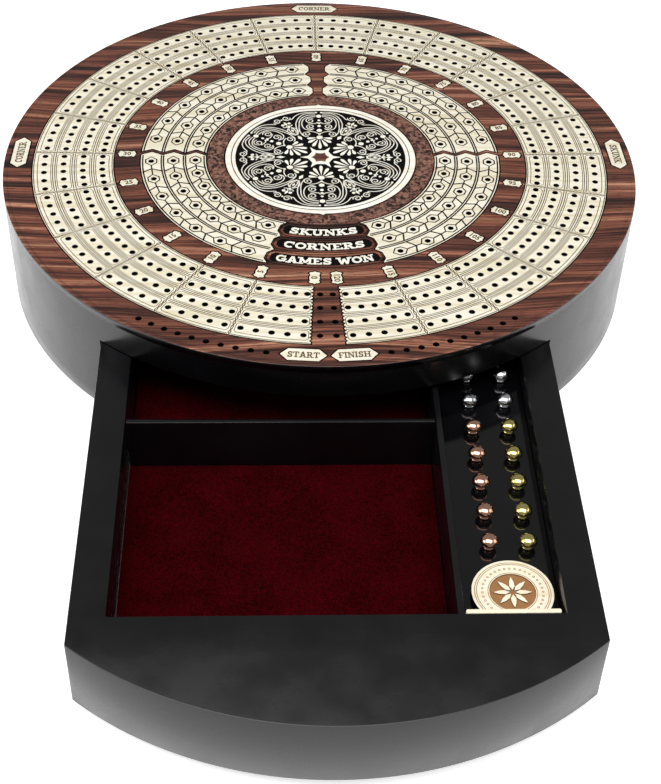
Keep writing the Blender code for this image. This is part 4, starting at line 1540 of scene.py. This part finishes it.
def peg_profile():
    """(radius, height) from the crown down to the tip."""
    middle = PEG_TOP - HALF_HEAD
    into_neck = math.asin(NECK / HEAD)
    turns = [(math.pi - into_neck) * i / 15 for i in range(16)]
    head = [(HEAD * math.sin(a), middle + HALF_HEAD * math.cos(a)) for a in turns]
    collar_low = PEG_TIP + SHAFT_LENGTH
    body = [(COLLAR - 0.0002, collar_low + 0.0007), (COLLAR, collar_low + 0.0005)]
    body += [(COLLAR, collar_low + 0.0001), (COLLAR - 0.0001, collar_low)]
    body += [(0.00115, collar_low), (0.00113, collar_low - 0.004)]
    body += [(0.0008, PEG_TIP + 0.0004), (0.0006, PEG_TIP), (0.0, PEG_TIP)]
    return head + body


pattern = turned("peg_pattern", peg_profile(), 28)
smooth(pattern, 40)
print("faces in one peg:", len(pattern.data.polygons))
for node in peg_nodes:
    peg = pattern.copy()
    peg.data = pattern.data.copy()
    peg.name = "plated_" + node
    bpy.context.collection.objects.link(peg)
    peg.data.transform(Matrix.Translation(peg_centre(node)))
    colour = node.split("_")[1]
    paint(peg, platings[colour])
    body = frame["nodes"][node]["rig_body"]
    settle(peg, body, colour, node)
bpy.data.objects.remove(pattern)

# %% [markdown]
# ## The token and its keeper
#
# A round maple token lies in front of the pegs under a thin maple bar on the drawer front. It has a
# lined border, a ring of dots, and a sunk brown centre with a raised rosette, all cut by laser. The
# sunk ground is real depth, so the rosette's leaves throw a thin shadow.

# %% Token
token_low, token_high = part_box("token")
token_x, token_y = (token_low.x + token_high.x) / 2, (token_low.y + token_high.y) / 2
token_radius = (token_high.x - token_low.x) / 2
token_top = token_high.z - 0.00006
token_at = (token_x, token_y)
sunk_edge = ring(0.0074, 60, token_at)
SUNK_DEPTH = 0.0004

rim_loops = [ring(token_radius, 72, token_at), sunk_edge]
rim_piece = flat_piece("token_rim", rim_loops, token_low.z, token_top)
paint(rim_piece, token_maple, char_and_shade)
ground = flat_piece("token_ground", [sunk_edge], token_low.z, token_top - SUNK_DEPTH)
paint(ground, token_sunk)
token = join("maple_token", [rim_piece, ground])
settle(token, "drawer", "maple", "token")


def token_ornament():
    shapes = []
    for turn in range(8):
        angle = math.radians(45 * turn)
        leaf = [(0.9, 0.0), (2.4, 0.85), (4.2, 0.7), (6.2, 0.0), (4.2, -0.7), (2.4, -0.85)]
        cos, sin = math.cos(angle), math.sin(angle)
        shapes.append(
            [(token_x + (u * cos - v * sin) / 1000, token_y + (u * sin + v * cos) / 1000) for u, v in leaf]
        )
    return shapes


leaves = [
    flat_piece(f"token_leaf_{i}", [shape], token_top - SUNK_DEPTH, token_top)
    for i, shape in enumerate(token_ornament())
]
rosette = join("token_rosette", leaves)
paint(rosette, token_maple, char_and_shade)
settle(rosette, "drawer", "maple")
token_rings = [(ring(radius, 72, token_at), True) for radius in (0.0120, 0.0114, 0.0078)]
settle(fine_lines("token_border_lines", token_rings, 0.00022, token_sunk, token_top), "drawer", "maple")
DOTS_AT, DOT_RADIUS = 0.0096, 0.00032
dots = []
for i in range(36):
    turn = math.radians(10 * i)
    dot_at = (token_x + DOTS_AT * math.cos(turn), token_y + DOTS_AT * math.sin(turn))
    dots.append((ring(DOT_RADIUS, 6, dot_at), True))
settle(fine_lines("token_dots", dots, 0.00022, token_sunk, token_top), "drawer", "maple")

# %% Keeper
keeper_low, keeper_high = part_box("token_keeper")
keeper = board("maple_token_keeper", keeper_low, keeper_high)
round_edges(keeper, lambda a, b: near(a.x, b.x) and near(a.y, b.y), 0.0006, 4)
round_edges(keeper, lambda a, b: near(a.z, keeper_high.z) and near(b.z, keeper_high.z), 0.00025)
paint(keeper, token_maple)
smooth(keeper)
settle(keeper, "drawer", "maple", "token_keeper")
print(f"token {2000 * token_radius:.1f} mm across")

# %% [markdown]
# ## Floor, light and camera
#
# The board stands on a white light table. The table glows a little, because a black lacquered side
# shows only what it reflects, and a pale table draws its curve. A wide softbox hangs overhead, a
# little in front so that the flat lacquer doesn't mirror it, and two weaker ones stand at the sides.


# %% Floor
def make_floor():
    deselect_all()
    bpy.ops.mesh.primitive_plane_add(size=24.0, location=(0.0, 0.0, -0.0002))
    floor = bpy.context.active_object
    floor.name = "light_table"
    opal = bare_material("opal_light_table")
    glow = {"Emission Color": linear("#ffffff"), "Emission Strength": 0.68}
    shader = add(opal, SHADER, {"Base Color": linear("#f6f6f6"), "Roughness": 0.7, **glow})
    add(opal, OUTPUT, {}, {"Surface": shader.outputs[0]})
    floor.data.materials.append(opal)
    return floor


make_floor()


# %% Lights
def softbox(name, place, size, power, aim=(0.0, -0.05, 0.04)):
    light = bpy.data.lights.new(name, "AREA")
    light.shape = "RECTANGLE"
    light.size, light.size_y = size
    light.energy = power
    obj = bpy.data.objects.new(name, light)
    obj.location = place
    direction = Vector(aim) - Vector(place)
    obj.rotation_euler = direction.to_track_quat("-Z", "Y").to_euler()
    bpy.context.scene.collection.objects.link(obj)
    return obj


softbox("overhead_softbox", (-0.1, -0.47, 1.2), (1.5, 0.8), 15.5)
softbox("left_softbox", (-1.3, -0.3, 0.8), (0.8, 0.8), 5.0)
softbox("right_softbox", (1.3, -0.2, 0.8), (0.8, 0.8), 2.8)
world = bpy.data.worlds.new("studio")
bpy.context.scene.world = world
world.use_nodes = True
world.node_tree.nodes["Background"].inputs["Color"].default_value = (1.0, 1.0, 1.0, 1.0)
world.node_tree.nodes["Background"].inputs["Strength"].default_value = 0.26
bpy.context.scene.view_settings.view_transform = "Standard"

# %% Camera
YAW, PITCH, ROLL = math.radians(2.941), math.radians(42.898), math.radians(1.832)
camera_data = bpy.data.cameras.new("camera")
camera_data.sensor_fit = "HORIZONTAL"
camera_data.sensor_width = 36.0
camera_data.lens = 82.58
camera = bpy.data.objects.new("camera", camera_data)
forward = Vector((math.sin(YAW) * math.cos(PITCH), math.cos(YAW) * math.cos(PITCH), -math.sin(PITCH)))
level_right = Vector((math.cos(YAW), -math.sin(YAW), 0.0))
level_up = level_right.cross(forward)
right_axis = math.cos(ROLL) * level_right + math.sin(ROLL) * level_up
up_axis = -math.sin(ROLL) * level_right + math.cos(ROLL) * level_up
turn = Matrix((right_axis, up_axis, -forward)).transposed().to_4x4()
place = Vector((-0.1523, -4.0534, 2.7464)) * RADIUS + Vector((0.0, 0.0, face_high.z))
camera.matrix_world = Matrix.Translation(place) @ turn
camera_data.clip_start = 0.01
bpy.context.scene.collection.objects.link(camera)
bpy.context.scene.camera = camera

# %% [markdown]
# ## Finish

# %% Finish
deselect_all()
